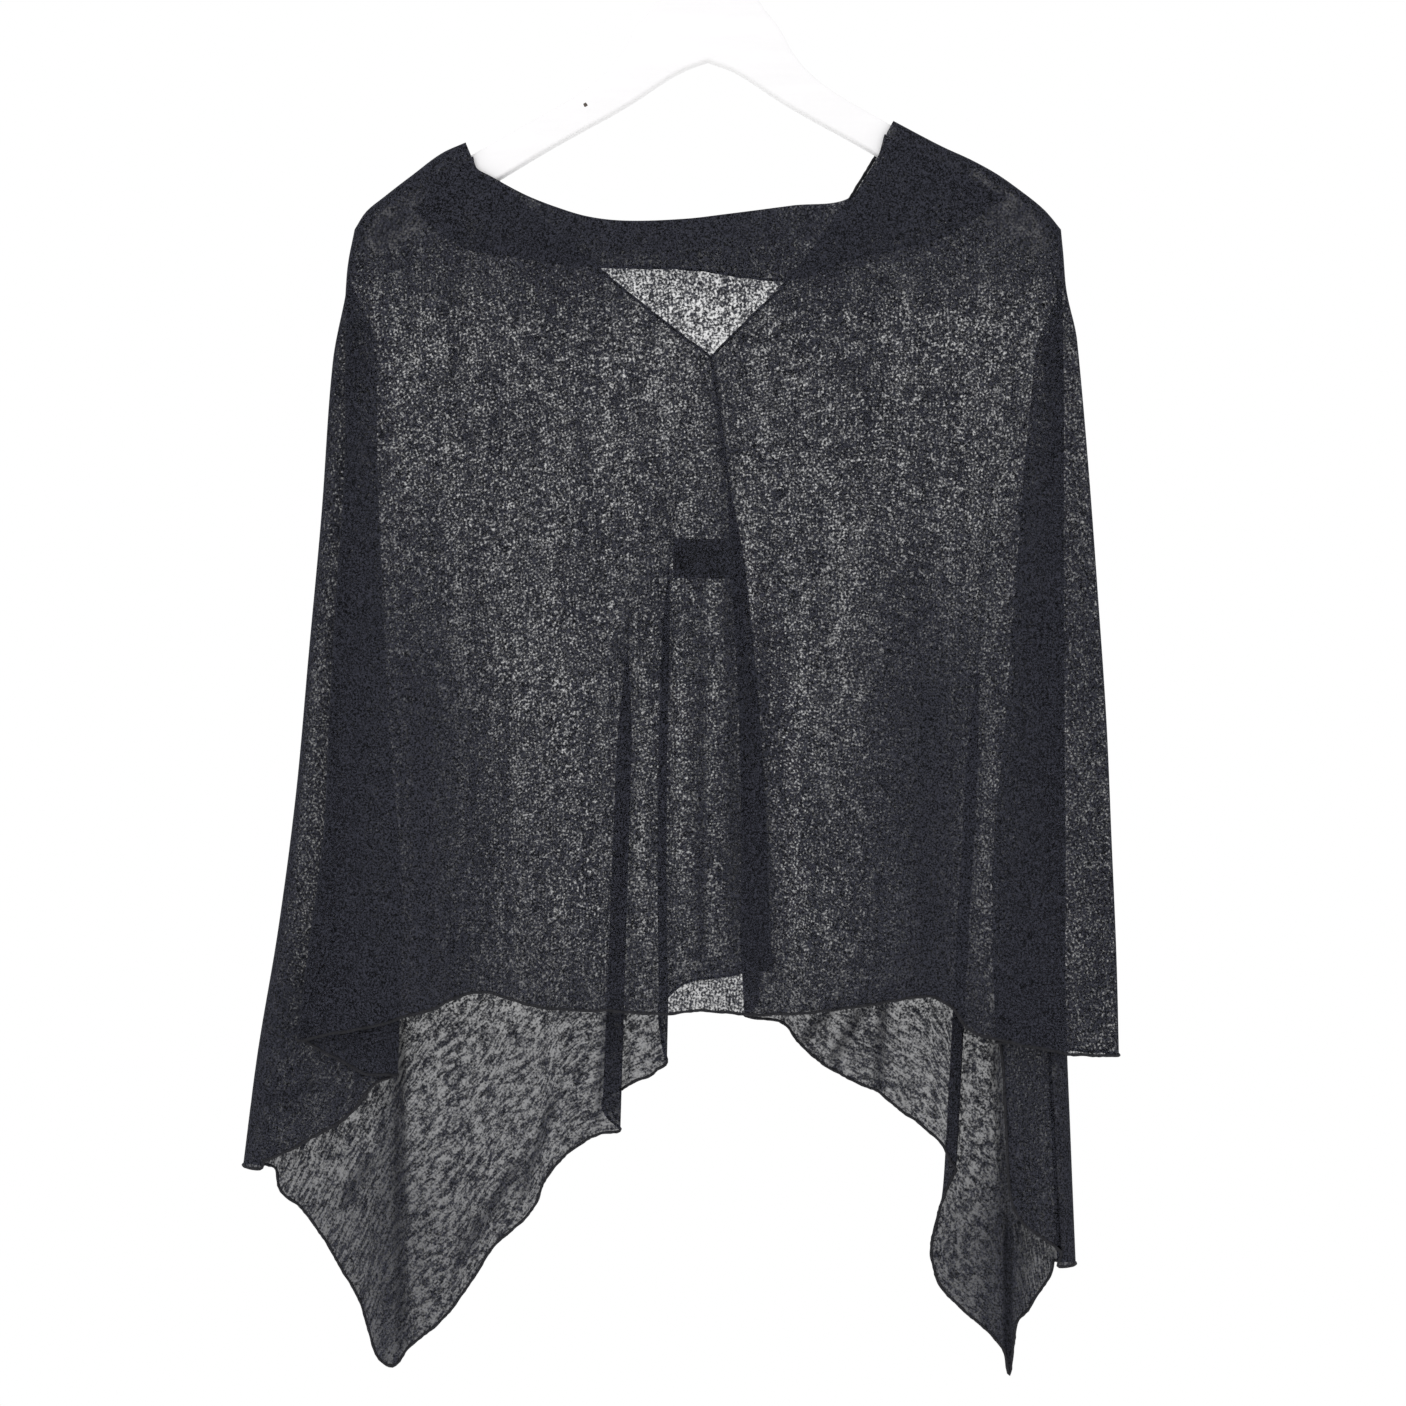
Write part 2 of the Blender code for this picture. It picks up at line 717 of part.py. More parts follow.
def makeCloth():
    left = Side(shoulderLeft, leftFolds, -1)
    right = Side(shoulderRight, rightFolds, 1)
    arm = np.linspace(0, shoulderShare, 5)[:-1]
    rows = np.concatenate([arm, np.linspace(shoulderShare, 1, layerRows - 4)])
    leftPath = left.path(rows, leftSecondHem, leftThirdHem)
    rightPath = right.path(rows, rightSecondHem, rightThirdHem)
    split = turnSteps + 1

    # Front layer, its turns at both sides, and the facing inside its neck edge
    neckRadius = facingDepthMm / 2
    neck, _ = lineThrough(frontNeck)
    hem, _ = lineThrough(frontHem)
    across = np.linspace(0, 1, frontColumns + 1)
    flat = between(neck, hem, left.frontEdge, right.frontEdge, across, rows)
    front = np.stack([flat[..., 0], frontDepth(flat[..., 0], flat[..., 1]), flat[..., 1]], axis=-1)
    front[:, 0] = leftPath[:, 0]
    front[:, -1] = rightPath[:, 0]

    edge, _ = lineThrough(facingEdge)
    neckRow = front[0, 1:-1]
    neckFlat = flat[0, 1:-1]
    down = np.linspace(0, 1, facingRows + 1)
    hang = (edge(across[1:-1]) - neckFlat)[None] * down[:, None, None]
    facingFlat = neckFlat[None] + hang
    facingDepth = frontDepth(facingFlat[..., 0], facingFlat[..., 1]) + facingDepthMm
    facingDepth[0] = neckRow[:, 1] + facingDepthMm
    facing = np.stack([facingFlat[..., 0], facingDepth, facingFlat[..., 1]], axis=-1)
    turn = np.linspace(0, math.pi, neckTurnSteps + 1)[1:-1]
    run = np.gradient(neckFlat, axis=0)
    run /= np.linalg.norm(run, axis=1)[:, None]
    rise = np.stack([-run[:, 1], np.zeros(len(run)), run[:, 0]], axis=1)
    inward = np.array([0.0, 1.0, 0.0])
    over = []
    for angle in turn:
        over.append(neckRow + neckRadius * (inward * (1 - math.cos(angle)) + rise * math.sin(angle)))
    neckStrip = np.stack([*facing[::-1], *reversed(over), neckRow])

    leftTurn = trimmed(leftPath[:, : split + 1], 0, turnGapMm)
    rightTurn = trimmed(rightPath[:, : split + 1], 0, turnGapMm)
    clothObject("front_panel", [front, neckStrip, leftTurn, rightTurn], wallMm)

    clothObject("left_side_fold", [trimmed(leftPath[:, split:-split], turnGapMm, turnGapMm)], wallMm)
    clothObject("right_side_fold", [trimmed(rightPath[:, split:-split], turnGapMm, turnGapMm)], wallMm)

    # Back layers, one each side of the seam
    pleat = backPleats[seamPleat]
    ups = np.linspace(seamTopMm, seamHemMm, len(rows))
    _, beside = besideFold(pleat, np.zeros_like(ups), ups, pleat[4])
    centre, _ = lineThrough(np.stack([-beside, ups], axis=1))
    for name, side, path, neckEdge, hemRows in (
        ("back_left_panel", left, leftPath, backNeckLeft, backLeftHem),
        ("back_right_panel", right, rightPath, backNeckRight, backRightHem),
    ):
        top, _ = lineThrough(neckEdge)
        bottom, _ = lineThrough(hemRows)
        outerFirst = side is left
        edges = (side.backEdge, centre) if outerFirst else (centre, side.backEdge)
        panel = pleatedPanel(top, bottom, *edges, hemRows, rows)
        outer = path[:, -split - 1 :][:, ::-1]
        if outerFirst:
            panel[:, 0] = outer[:, 0]
            panel = trimmed(panel, 0, seamGapMm)
        else:
            panel[:, -1] = outer[:, 0]
            panel = trimmed(panel, seamGapMm, 0)
        clothObject(name, [panel, trimmed(outer, 0, turnGapMm)], wallMm)


def makeLabel():
    across = np.linspace(labelLeftMm, labelRightMm, labelColumns + 1)
    up = np.linspace(labelTopMm, labelBottomMm, labelRows + 1)
    flat = np.stack(np.meshgrid(across, up), axis=-1)
    wide = np.linspace(labelLeftMm - 2 * labelReachMm, labelRightMm + 2 * labelReachMm, labelProbeSteps)
    nearest = backPoint(np.stack(np.meshgrid(wide, up), axis=-1))
    grid = np.zeros((*flat.shape[:2], 3))
    for row in range(len(up)):
        for column, place in enumerate(across):
            close = np.abs(nearest[row, :, 0] - place) < labelReachMm
            front = nearest[row, close, 1].min()
            depth = front - wallMm / 2 - labelClearMm - labelThickMm / 2
            grid[row, column] = (place, depth, up[row])
    clothObject("label", [grid], labelThickMm)


def makeBar():
    outline = barOutline + [(-across, up) for across, up in reversed(barOutline) if across > 0]
    work = bmesh.new()
    corners = [work.verts.new((across * mm, 0, up * mm)) for across, up in outline]
    work.faces.new(corners)
    mesh = bpy.data.meshes.new("hanger_bar")
    work.to_mesh(mesh)
    work.free()
    bar = newObject("hanger_bar", mesh)
    body = bar.modifiers.new("Board", "SOLIDIFY")
    body.thickness = barThickMm * mm
    body.offset = 0.0
    rounded = bar.modifiers.new("Rounded edges", "BEVEL")
    rounded.width = barEdgeMm * mm
    rounded.segments = barEdgeSteps
    rounded.limit_method = "ANGLE"
    rounded.angle_limit = math.radians(60)
    cutterMesh = bpy.data.meshes.new("hook_hole")
    drill = bmesh.new()
    radius = (hookWireMm / 2 + hookHoleClearMm) * mm
    top = barOutline[0][1] * mm
    bmesh.ops.create_cone(drill, cap_ends=True, segments=holeSides, radius1=radius, radius2=radius,
                          depth=2 * hookHoleDepthMm * mm)
    bmesh.ops.translate(drill, verts=drill.verts, vec=(0, 0, top))
    drill.to_mesh(cutterMesh)
    drill.free()
    cutter = bpy.data.objects.new("hook_hole", cutterMesh)
    cutters = bpy.data.collections.new("cutters")
    bpy.context.scene.collection.children.link(cutters)
    cutters.objects.link(cutter)
    cutter.hide_render = True
    cutter.display_type = "WIRE"
    hole = bar.modifiers.new("Hook hole", "BOOLEAN")
    hole.object = cutter
    hole.solver = "EXACT"
    mesh.shade_smooth()
    mesh.set_sharp_from_angle(angle=math.radians(40))


def makeHook():
    radius = hookInnerRadiusMm + hookWireMm / 2
    angles = np.radians(np.linspace(hookStartDeg, hookEndDeg, hookSteps + 1))
    arc = np.stack([radius * np.cos(angles), radius * np.sin(angles) - hookInnerRadiusMm], axis=1)
    low = np.array([0.0, barOutline[0][1] - hookHoleDepthMm + hookHoleClearMm])
    shank = np.array([0.0, barOutline[0][1] + hookStraightMm])
    pull = hookBendShare * (arc[0, 1] - shank[1])
    first = shank + (0.0, pull)
    second = arc[0] + pull * np.array([math.sin(angles[0]), -math.cos(angles[0])])
    path = [low, shank]
    for t in np.linspace(0, 1, hookBendSteps + 1)[1:-1]:
        early = (1 - t) ** 3 * shank + 3 * t * (1 - t) ** 2 * first
        path.append(early + 3 * t**2 * (1 - t) * second + t**3 * arc[0])
    path += list(arc)
    curve = bpy.data.curves.new("hanger_hook", "CURVE")
    curve.dimensions = "3D"
    curve.bevel_depth = hookWireMm / 2 * mm
    curve.bevel_resolution = 2
    curve.use_fill_caps = True
    wire = curve.splines.new("POLY")
    wire.points.add(len(path) - 1)
    for point, (across, up) in zip(wire.points, path):
        point.co = (across * mm, 0, up * mm, 1)
    wire.use_smooth = True
    newObject("hanger_hook", curve)


for stale in list(bpy.data.objects):
    bpy.data.objects.remove(stale, do_unlink=True)
makeCloth()
makeLabel()
makeBar()
makeHook()
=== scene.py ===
# Sheer knit poncho on a white wooden hanger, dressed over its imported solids.
# Tables are in millimetres. X runs across, Z up, and the front faces -Y.
import math

import bmesh
import bpy
import numpy as np
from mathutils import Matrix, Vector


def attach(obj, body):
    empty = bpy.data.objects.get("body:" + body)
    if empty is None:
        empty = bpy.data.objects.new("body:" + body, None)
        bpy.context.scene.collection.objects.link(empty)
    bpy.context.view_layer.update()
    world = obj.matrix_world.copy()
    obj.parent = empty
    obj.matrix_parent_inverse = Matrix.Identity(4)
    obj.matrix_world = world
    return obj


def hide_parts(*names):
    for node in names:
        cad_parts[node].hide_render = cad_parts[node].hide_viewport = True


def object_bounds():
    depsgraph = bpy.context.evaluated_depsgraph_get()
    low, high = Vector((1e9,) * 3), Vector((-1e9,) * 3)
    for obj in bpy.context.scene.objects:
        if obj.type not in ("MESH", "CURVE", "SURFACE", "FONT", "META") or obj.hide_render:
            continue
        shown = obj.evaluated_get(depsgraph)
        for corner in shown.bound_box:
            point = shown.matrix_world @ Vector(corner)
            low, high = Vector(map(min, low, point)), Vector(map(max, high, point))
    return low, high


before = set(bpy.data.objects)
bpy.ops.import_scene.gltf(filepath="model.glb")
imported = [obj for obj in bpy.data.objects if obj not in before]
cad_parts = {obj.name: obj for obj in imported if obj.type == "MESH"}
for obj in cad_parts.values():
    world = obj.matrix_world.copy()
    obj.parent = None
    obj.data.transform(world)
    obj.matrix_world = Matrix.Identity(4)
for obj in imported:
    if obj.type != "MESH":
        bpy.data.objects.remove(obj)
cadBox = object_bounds()
mm = 0.001
bandRun = math.pi / 10  # a wave texture's bands lie this far apart at scale 1
print("frame loaded:", ", ".join(sorted(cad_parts)))


# One sRGB hex colour as linear red, green, blue and alpha
def linearColour(code):
    parts = [int(code[k : k + 2], 16) / 255 for k in (1, 3, 5)]
    return [p / 12.92 if p <= 0.04045 else ((p + 0.055) / 1.055) ** 2.4 for p in parts] + [1.0]


# Adds a node with its settings and feeds, and gives one of its outputs. A feed is a value or an
# output that links in, and the node's own output can link on into a socket
def addNode(tree, kind, output, feeds=None, into=None, **settings):
    node = tree.nodes.new("ShaderNode" + kind)
    for name, setting in settings.items():
        setattr(node, name, setting)
    for socket, feed in (feeds or {}).items():
        if isinstance(feed, bpy.types.NodeSocket):
            tree.links.new(feed, node.inputs[socket])
        else:
            node.inputs[socket].default_value = feed
    if into is not None:
        tree.links.new(node.outputs[output], into)
    return node.outputs[output]


# A place in metres, turned to millimetres
def inMillimetres(tree, place):
    return addNode(tree, "VectorMath", "Vector", {0: place, 1: (1000, 1000, 1000)}, operation="MULTIPLY")


# A material with one Principled shader and its fixed values
def newMaterial(name, colour, roughness, **values):
    material = bpy.data.materials.new(name)
    material.use_nodes = True
    shader = material.node_tree.nodes["Principled BSDF"]
    shader.inputs["Base Color"].default_value = linearColour(colour)
    shader.inputs["Roughness"].default_value = roughness
    for socket, setting in values.items():
        shader.inputs[socket.replace("_", " ")].default_value = setting
    return material, material.node_tree, shader


# The colour goes from one tone to another along a pattern
def mixTones(tree, shader, share, start, end):
    addNode(tree, "Mix", "Result", {"Factor": share, "A": linearColour(start), "B": linearColour(end)},
            into=shader.inputs["Base Color"], data_type="RGBA")


# The surface rises and falls along a pattern, by a strength and a depth
def raiseRelief(tree, shader, height, relief):
    strength, depthMm = relief
    addNode(tree, "Bump", "Normal", {"Height": height, "Strength": strength, "Distance": depthMm * mm},
            into=shader.inputs["Normal"])


def newObject(name, data):
    owner = bpy.data.objects.new(name, data)
    bpy.context.scene.collection.objects.link(owner)
    return owner


def meshFrom(work, name):
    mesh = bpy.data.meshes.new(name)
    work.to_mesh(mesh)
    work.free()
    return mesh


# Points and faces of a grid in millimetres, each face with its corners' rows and columns
def addGrid(work, grid):
    verts = [[work.verts.new(tuple(point * mm)) for point in line] for line in grid]
    faces = []
    for row in range(len(verts) - 1):
        for column in range(len(verts[0]) - 1):
            corners = ((row, column), (row, column + 1), (row + 1, column + 1), (row + 1, column))
            face = work.faces.new([verts[r][c] for r, c in corners])
            face.smooth = True
            faces.append((face, corners))
    return verts, faces


# A round wire as a curve, which takes one or more lines of points
def newWire(name, thickMm, roundSteps):
    curve = bpy.data.curves.new(name, "CURVE")
    curve.dimensions = "3D"
    curve.bevel_depth = thickMm / 2 * mm
    curve.bevel_resolution = roundSteps
    curve.use_fill_caps = True
    return curve


def addLine(curve, points):
    spline = curve.splines.new("POLY")
    spline.points.add(len(points) - 1)
    spline.use_smooth = True
    for point, (x, y, z) in zip(spline.points, points):
        point.co = (x * mm, y * mm, z * mm, 1)
    return spline


# The poncho is one knit rectangle: its long upper edge is the neck and the centre-back seam
poncho = {
    "wrapRadiusMm": 9.6,  # half the cloth's depth over an arm of the hanger
    "wrapEndShare": 0.163,  # the sides start to fold here
    "foldedShare": 0.26,  # and hang in full folds from here down
    "wrapSquareness": 0.5,
    "wrapDegrees": (-90, -25, 25, 90),  # where the front, side and back meet over the arm
    "shoulderShare": 0.14,  # share of a side line that lies on the arm
    "facingDepthMm": 2.6,  # the neck edge hangs this far inside the front
    "neckBulgeMm": 8,  # the front stands forward under the neck
    "neckBulgeHalfWidthMm": 125,
    "neckBulgeDropMm": 260,
    "neckBulgeUpMm": -210,
    "neckEndPower": 4,  # how soon the neck line bends to meet the side lines
    "hemEndPower": 40,
    "fineSteps": 800,
    "pastHemShare": 1.15,  # a fold goes on past its own lower end by this much
    "pleatRadiusMm": 1.5,
    "pleatGrownShare": 0.4,  # share of its length over which a pleat opens
    "pleatEdgeShare": 0.02,
    "leastTurn": 0.02,  # radians, for a pleat that is still flat
    "pleatShares": (0.14, 0.36, 0.5),  # across half a pleat: its turn's start and end, then flat cloth
    "seamTopMm": -293,
    "seamHemMm": -659.5,
    "seamPleat": 2,  # the seam runs down the middle of this pleat
    "frontColumns": 200,
    "armRows": 26,
    "dropRows": 150,
    "turnSteps": 12,
    "layerColumns": 16,
    "facingRows": 10,
    "neckTurnSteps": 8,
    "backColumnMaxMm": 2.2,
    "columnMinMm": 0.8,
    "pleatSteps": [0.07] + [0.14 + 0.0275 * k for k in range(9)] + [0.43, 0.5, 0.62, 0.75, 0.88, 1.0],
    # along the arms: across, up
    "shoulderLeft": [
        (-152.5, -159), (-167, -165.5), (-186, -179.5), (-203.5, -193), (-215.5, -203), (-222.5, -214),
    ],
    "shoulderRight": [
        (117, -145.5), (148.5, -162), (165, -169.5), (181.5, -178.5), (196.5, -189), (212.5, -202),
        (222.5, -214),
    ],
    # share of the drop, then front, inner and back fold: across and up of each
    "leftFolds": [
        (0, -222.5, -214, -214, -220.5, -222.5, -214),
        (0.06, -227, -244, -207, -250, -230.5, -249),
        (0.15, -227.5, -290, -208, -298.5, -237.5, -302),
        (0.3, -228, -366.5, -207, -378, -244, -391),
        (0.45, -233, -443, -203.5, -457, -252, -479.5),
        (0.6, -237, -519, -199.5, -535.5, -260, -568),
        (0.75, -240.5, -595.5, -192, -614, -271.5, -656.5),
        (0.88, -249, -661.5, -192, -682.5, -284, -732.5),
        (1, -256.5, -722, -194.5, -745.5, -293, -803),
    ],
    "rightFolds": [
        (0, 222.5, -214, 214, -220.5, 222.5, -214),
        (0.06, 227.5, -245, 210, -250.5, 224, -253),
        (0.15, 232.5, -291, 205.5, -296, 225, -312),
        (0.3, 239, -368.5, 198.5, -371.5, 225, -409.5),
        (0.45, 244.5, -446.5, 192.5, -447, 225.5, -507),
        (0.6, 249.5, -524, 187, -522.5, 226, -605),
        (0.75, 252.5, -602, 179.5, -598.5, 226, -702.5),
        (0.88, 255, -669, 178.5, -664, 229, -787),
        (1, 256.5, -731.5, 180.5, -724.5, 232, -865),
    ],
    # up, then the depth of the front, second, third and back layer
    "layerDepths": [
        (-1000, -26, -18, -11.5, 14),
        (-900, -26, -18, -11.5, 14),
        (-700, -24, -16.5, -10.5, 17),
        (-500, -18, -11.5, -5.5, 15),
        (-330, -13, -7.5, -1.8, 11.5),
        (-236, -9.6, -3.8, 2, 9.6),
        (-100, -9.6, -3.2, 3.2, 9.6),
    ],
    # neck edges: across, up
    "frontNeck": [
        (-147, -168), (-144.5, -177), (-135.5, -182.5), (-113.5, -194.5), (-95, -202), (-76, -208),
        (-55.5, -211), (-14, -210.5), (12.5, -207.5), (53, -202), (90, -196.5), (101.5, -181.5),
        (108.5, -170), (113, -155),
    ],
    "facingEdge": [
        (-187.5, -200.5), (-170.5, -215), (-153.5, -225.5), (-126, -230.5), (-78, -237.5),
        (-11.5, -240.5), (51.5, -246.5), (94.5, -232), (132.5, -223.5), (156, -215), (189, -193),
    ],
    "backNeckLeft": [
        (-147, -168), (-112, -199.5), (-68, -238), (-33.5, -266), (2, -293),
    ],
    "backNeckRight": [
        (2, -293), (26.5, -268.5), (49, -246.5), (83, -203), (104.5, -170), (113, -155),
    ],
    # lower edges: across, up
    "frontHem": [
        (-254, -722), (-232, -717.5), (-206.5, -713), (-187.5, -707), (-172.5, -703), (-153.5, -694.5),
        (-138.5, -692.5), (-112, -699.5), (-89.5, -703), (-63, -703.5), (-25, -705.5), (-5, -703.5),
        (24, -706), (46.5, -706), (77, -703.5), (114.5, -697.5), (137.5, -695), (152.5, -702),
        (162.5, -715.5), (184, -722.5), (209, -727.5), (228, -731), (254, -731.5),
    ],
    "leftSecondHem": [
        (-254, -723), (-243, -728.5), (-228.5, -736), (-214, -743.5), (-197, -744.5),
    ],
    "leftThirdHem": [
        (-197, -746), (-210.5, -752), (-225.5, -771), (-248, -784.5), (-269, -795.5), (-290.5, -803),
    ],
    "rightSecondHem": [
        (254, -730), (238, -729.5), (222, -728), (205, -726), (186.5, -724.5),
    ],
    "rightThirdHem": [
        (185, -727), (186.5, -759), (188, -791), (190, -823), (198, -838.5), (209, -846.5), (220, -855),
        (229.5, -864.5),
    ],
    "backLeftHem": [
        (-290.5, -804), (-278.5, -807.5), (-273, -820.5), (-259.5, -831.5), (-244.5, -850.5),
        (-233, -869.5), (-222, -888.5), (-214, -911), (-208.5, -925.5), (-199, -930.5), (-188.5, -919),
        (-169, -903.5), (-150, -879), (-135, -856), (-118, -841), (-108.5, -828), (-103.5, -814.5),
        (-90.5, -799), (-74.5, -788), (-63.5, -781), (-58, -768.5), (-54, -758.5), (-46.5, -752),
        (-37, -748.5), (-32, -741), (-27.5, -721.5), (-24.5, -701), (-17, -691), (1.5, -686.5),
        (19, -683.5), (24, -680.5), (26.5, -672), (30, -659.5),
    ],
    "backRightHem": [
        (30, -659.5), (31.5, -674), (32.5, -690), (36, -707), (50.5, -716.5), (58, -727), (73, -741),
        (92, -752), (107, -758), (126, -773), (139, -782.5), (146, -792), (149, -806), (153, -815),
        (156, -830), (157, -850), (158, -868), (160, -884), (166, -897), (179, -911), (187, -920.5),
        (190.5, -937), (194, -915), (196.5, -903), (204, -897), (208, -890), (218, -880.5), (230, -872),
    ],
    # the right tip's hem swings out: across, up, half width, half height, swing
    "tipSwing": (148, -871, 34, 28, -11.5),
    # across and up at top, at hem, bow, half width at top and hem, overlap at top and hem,
    # share open at top
    "backPleats": [
        (-48, -400, -61, -770, 0, 10, 14, 8, 12, 0),
        (-20, -345, -28, -700, -4, 9, 9.5, 5, 6, 0),
        (2, -293, 30, -659.5, 7.5, 9, 22, 4, 19, 0),
        (176, -400, 153.5, -819, 0, 14, 15, 7, 7.5, 0),
    ],
    # soft folds: across and up at top, at hem, half width, depth at hem
    "frontFolds": [
        (-150, -330, -152, -700, 26, 4.5),
        (-104, -420, -108, -700, 24, -4),
        (-30, -300, -38, -705, 34, -3.5),
        (38, -420, 44, -706, 24, 3),
        (98, -300, 112, -700, 32, -4),
        (146, -400, 150, -704, 20, 4.5),
    ],
    "backFolds": [
        (-190, -560, -199, -925, 26, -9),
        (-140, -560, -140, -860, 26, 5),
        (-95, -480, -100, -800, 22, -5),
        (62, -480, 58, -727, 16, -4.5),
        (92, -430, 88, -750, 18, 5),
        (122, -480, 116, -765, 16, -4.5),
        (196, -600, 190, -937, 18, -7),
    ],
}
armShare = poncho["shoulderShare"]
splitAt = poncho["turnSteps"] + 1  # columns of a side's turn


def lineLength(rows):
    return np.linalg.norm(np.diff(np.array(rows, float), axis=0), axis=1).sum()


# How far along its line each point lies
def runAlong(points):
    return np.concatenate([[0.0], np.cumsum(np.linalg.norm(np.diff(points, axis=0), axis=1))])


# A smooth line through the rows, read by its share of the length
def lineThrough(rows):
    points = np.array(rows, float)
    at = runAlong(points) / lineLength(points)
    return smoothRead(at, points), at


# Values between the rows of a table, with an even slope through each row
def smoothRead(at, values):
    rise = np.diff(values, axis=0) / np.diff(at)[:, None]
    slope = np.concatenate([rise[:1], (rise[1:] + rise[:-1]) / 2, rise[-1:]])

    def read(share):
        share = np.atleast_1d(np.asarray(share, float))
        i = np.clip(np.searchsorted(at, share, side="right") - 1, 0, len(at) - 2)
        wide = (at[i + 1] - at[i])[:, None]
        t = np.clip((share - at[i])[:, None] / wide, 0.0, 1.0)
        start = (2 * t**3 - 3 * t**2 + 1) * values[i] + (t**3 - 2 * t**2 + t) * wide * slope[i]
        end = (3 * t**2 - 2 * t**3) * values[i + 1] + (t**3 - t**2) * wide * slope[i + 1]
        return start + end

    return read


def smoothStep(low, high, value):
    t = np.clip((value - low) / (high - low), 0.0, 1.0)
    return t * t * (3 - 2 * t)


# How far down its drop a share of a side line lies, past the arm
def dropShare(share):
    return np.clip((share - armShare) / (1 - armShare), 0, 1)


# A side line: along the arm first, then down its fold
def sideLine(shoulder, folds, acrossColumn):
    table = np.array(folds, float)
    along, _ = lineThrough(shoulder)
    down = smoothRead(table[:, 0], table[:, acrossColumn : acrossColumn + 2])

    def read(share):
        share = np.atleast_1d(np.asarray(share, float))
        arm = along(np.clip(share / armShare, 0, 1))
        return np.where((share < armShare)[:, None], arm, down(dropShare(share)))

    return read


# The way out of the cloth, square to a side line
def outward(line, share, side):
    near = line(np.clip(share - 0.01, 0, 1))
    far = line(np.clip(share + 0.01, 0, 1))
    run = far - near
    run /= np.linalg.norm(run, axis=1)[:, None]
    square = np.stack([run[:, 1], -run[:, 0]], axis=1)
    return square * np.sign(square[:, :1] * side)


depthTable = np.array(poncho["layerDepths"], float)


def depthOf(layer, up):
    return np.interp(up, depthTable[:, 0], depthTable[:, layer])


# How far along a fold's own line a point lies, and how far across it
def besideFold(fold, across, up, bow=0.0):
    acrossTop, upTop, acrossHem, upHem = fold[:4]
    down = np.clip((up - upTop) / (upHem - upTop), 0.0, poncho["pastHemShare"])
    middle = acrossTop + (acrossHem - acrossTop) * down + bow * 4 * down * (1 - np.minimum(down, 1))
    return down, across - middle


def softFold(fold, across, up):
    down, beside = besideFold(fold, across, up)
    halfWidth, depth = fold[4:6]
    bell = np.cos(np.clip(beside / halfWidth, -1, 1) * math.pi / 2) ** 2
    return depth * bell * smoothStep(0, 1, down)


# How wide a pleat is at a point, how far across it the point lies, and how far it has grown
def acrossPleat(pleat, across, up):
    bow, wideTop, wideHem, _, _, grownTop = pleat[4:]
    down, beside = besideFold(pleat, across, up, bow)
    wide = wideTop + (wideHem - wideTop) * down
    grown = grownTop + (1 - grownTop) * smoothStep(0, poncho["pleatGrownShare"], down)
    return wide, beside / wide, grown, down


# How far an overlapping pleat moves the cloth across and in depth: from its middle layer,
# round a turn that opens with the pleat, along its outer layer and back to the flat cloth
def overlap(pleat, across, up):
    wide, t, grown, down = acrossPleat(pleat, across, up)
    overTop, overHem = pleat[7:9]
    start, end, flatFrom = poncho["pleatShares"]
    half = (overTop + (overHem - overTop) * down) / 2
    at, away = np.minimum(np.abs(t), 1), np.sign(t)
    angle = np.maximum(math.pi * grown, poncho["leastTurn"])
    turned = angle * (1 - np.clip((at - start) / (end - start), 0, 1))
    radius = np.maximum(poncho["pleatRadiusMm"], (end - start) * wide / angle)
    middle = start * wide * (1 - grown) + (half - poncho["pleatRadiusMm"]) * grown
    middle = middle * np.clip(at / start, 0, 1)
    sideways = middle * np.cos(angle) + radius * (np.sin(angle) - np.sin(turned))
    deep = middle * np.sin(angle) + radius * (np.cos(turned) - np.cos(angle))
    flatEnd = flatFrom * wide * (1 - grown) + half * grown
    flat = np.clip((at - end) / (flatFrom - end), 0, 1)
    sideways = sideways + (flatEnd - sideways) * np.where(at > end, flat, 0)
    beyond = np.clip((at - flatFrom) / (1 - flatFrom), 0, 1)
    sideways = sideways + (wide - flatEnd) * beyond
    deep = deep * (1 - smoothStep(0, 1, beyond))
    return away * (sideways - at * wide), away * deep


def frontDepth(across, up):
    deep = depthOf(1, up)
    beside = np.clip(across / poncho["neckBulgeHalfWidthMm"], -1, 1)
    below = np.clip((up - poncho["neckBulgeUpMm"]) / poncho["neckBulgeDropMm"], -1, 1)
    bulge = np.cos(beside * math.pi / 2) ** 2 * np.cos(below * math.pi / 2) ** 2
    deep = deep - poncho["neckBulgeMm"] * bulge
    for fold in poncho["frontFolds"]:
        deep = deep + softFold(fold, across, up)
    return deep


# A flat grid, across and up, with its depth between them
def withDepth(flat, deep):
    return np.stack([flat[..., 0], deep, flat[..., 1]], axis=-1)


# Place a point of the back: across, depth, up
def backPoint(flat):
    across, up = flat[..., 0], flat[..., 1]
    deep = depthOf(4, up)
    for fold in poncho["backFolds"]:
        deep = deep + softFold(fold, across, up)
    slipAcross = np.zeros_like(across)
    for pleat in poncho["backPleats"]:
        slip, step = overlap(pleat, across, up)
        slipAcross = slipAcross + slip
        deep = deep + step
    middle, height, halfWidth, halfHeight, swing = poncho["tipSwing"]
    bell = np.exp(-(((across - middle) / halfWidth) ** 2) - ((up - height) / halfHeight) ** 2)
    return np.stack([across + slipAcross + swing * bell, deep, up], axis=-1)


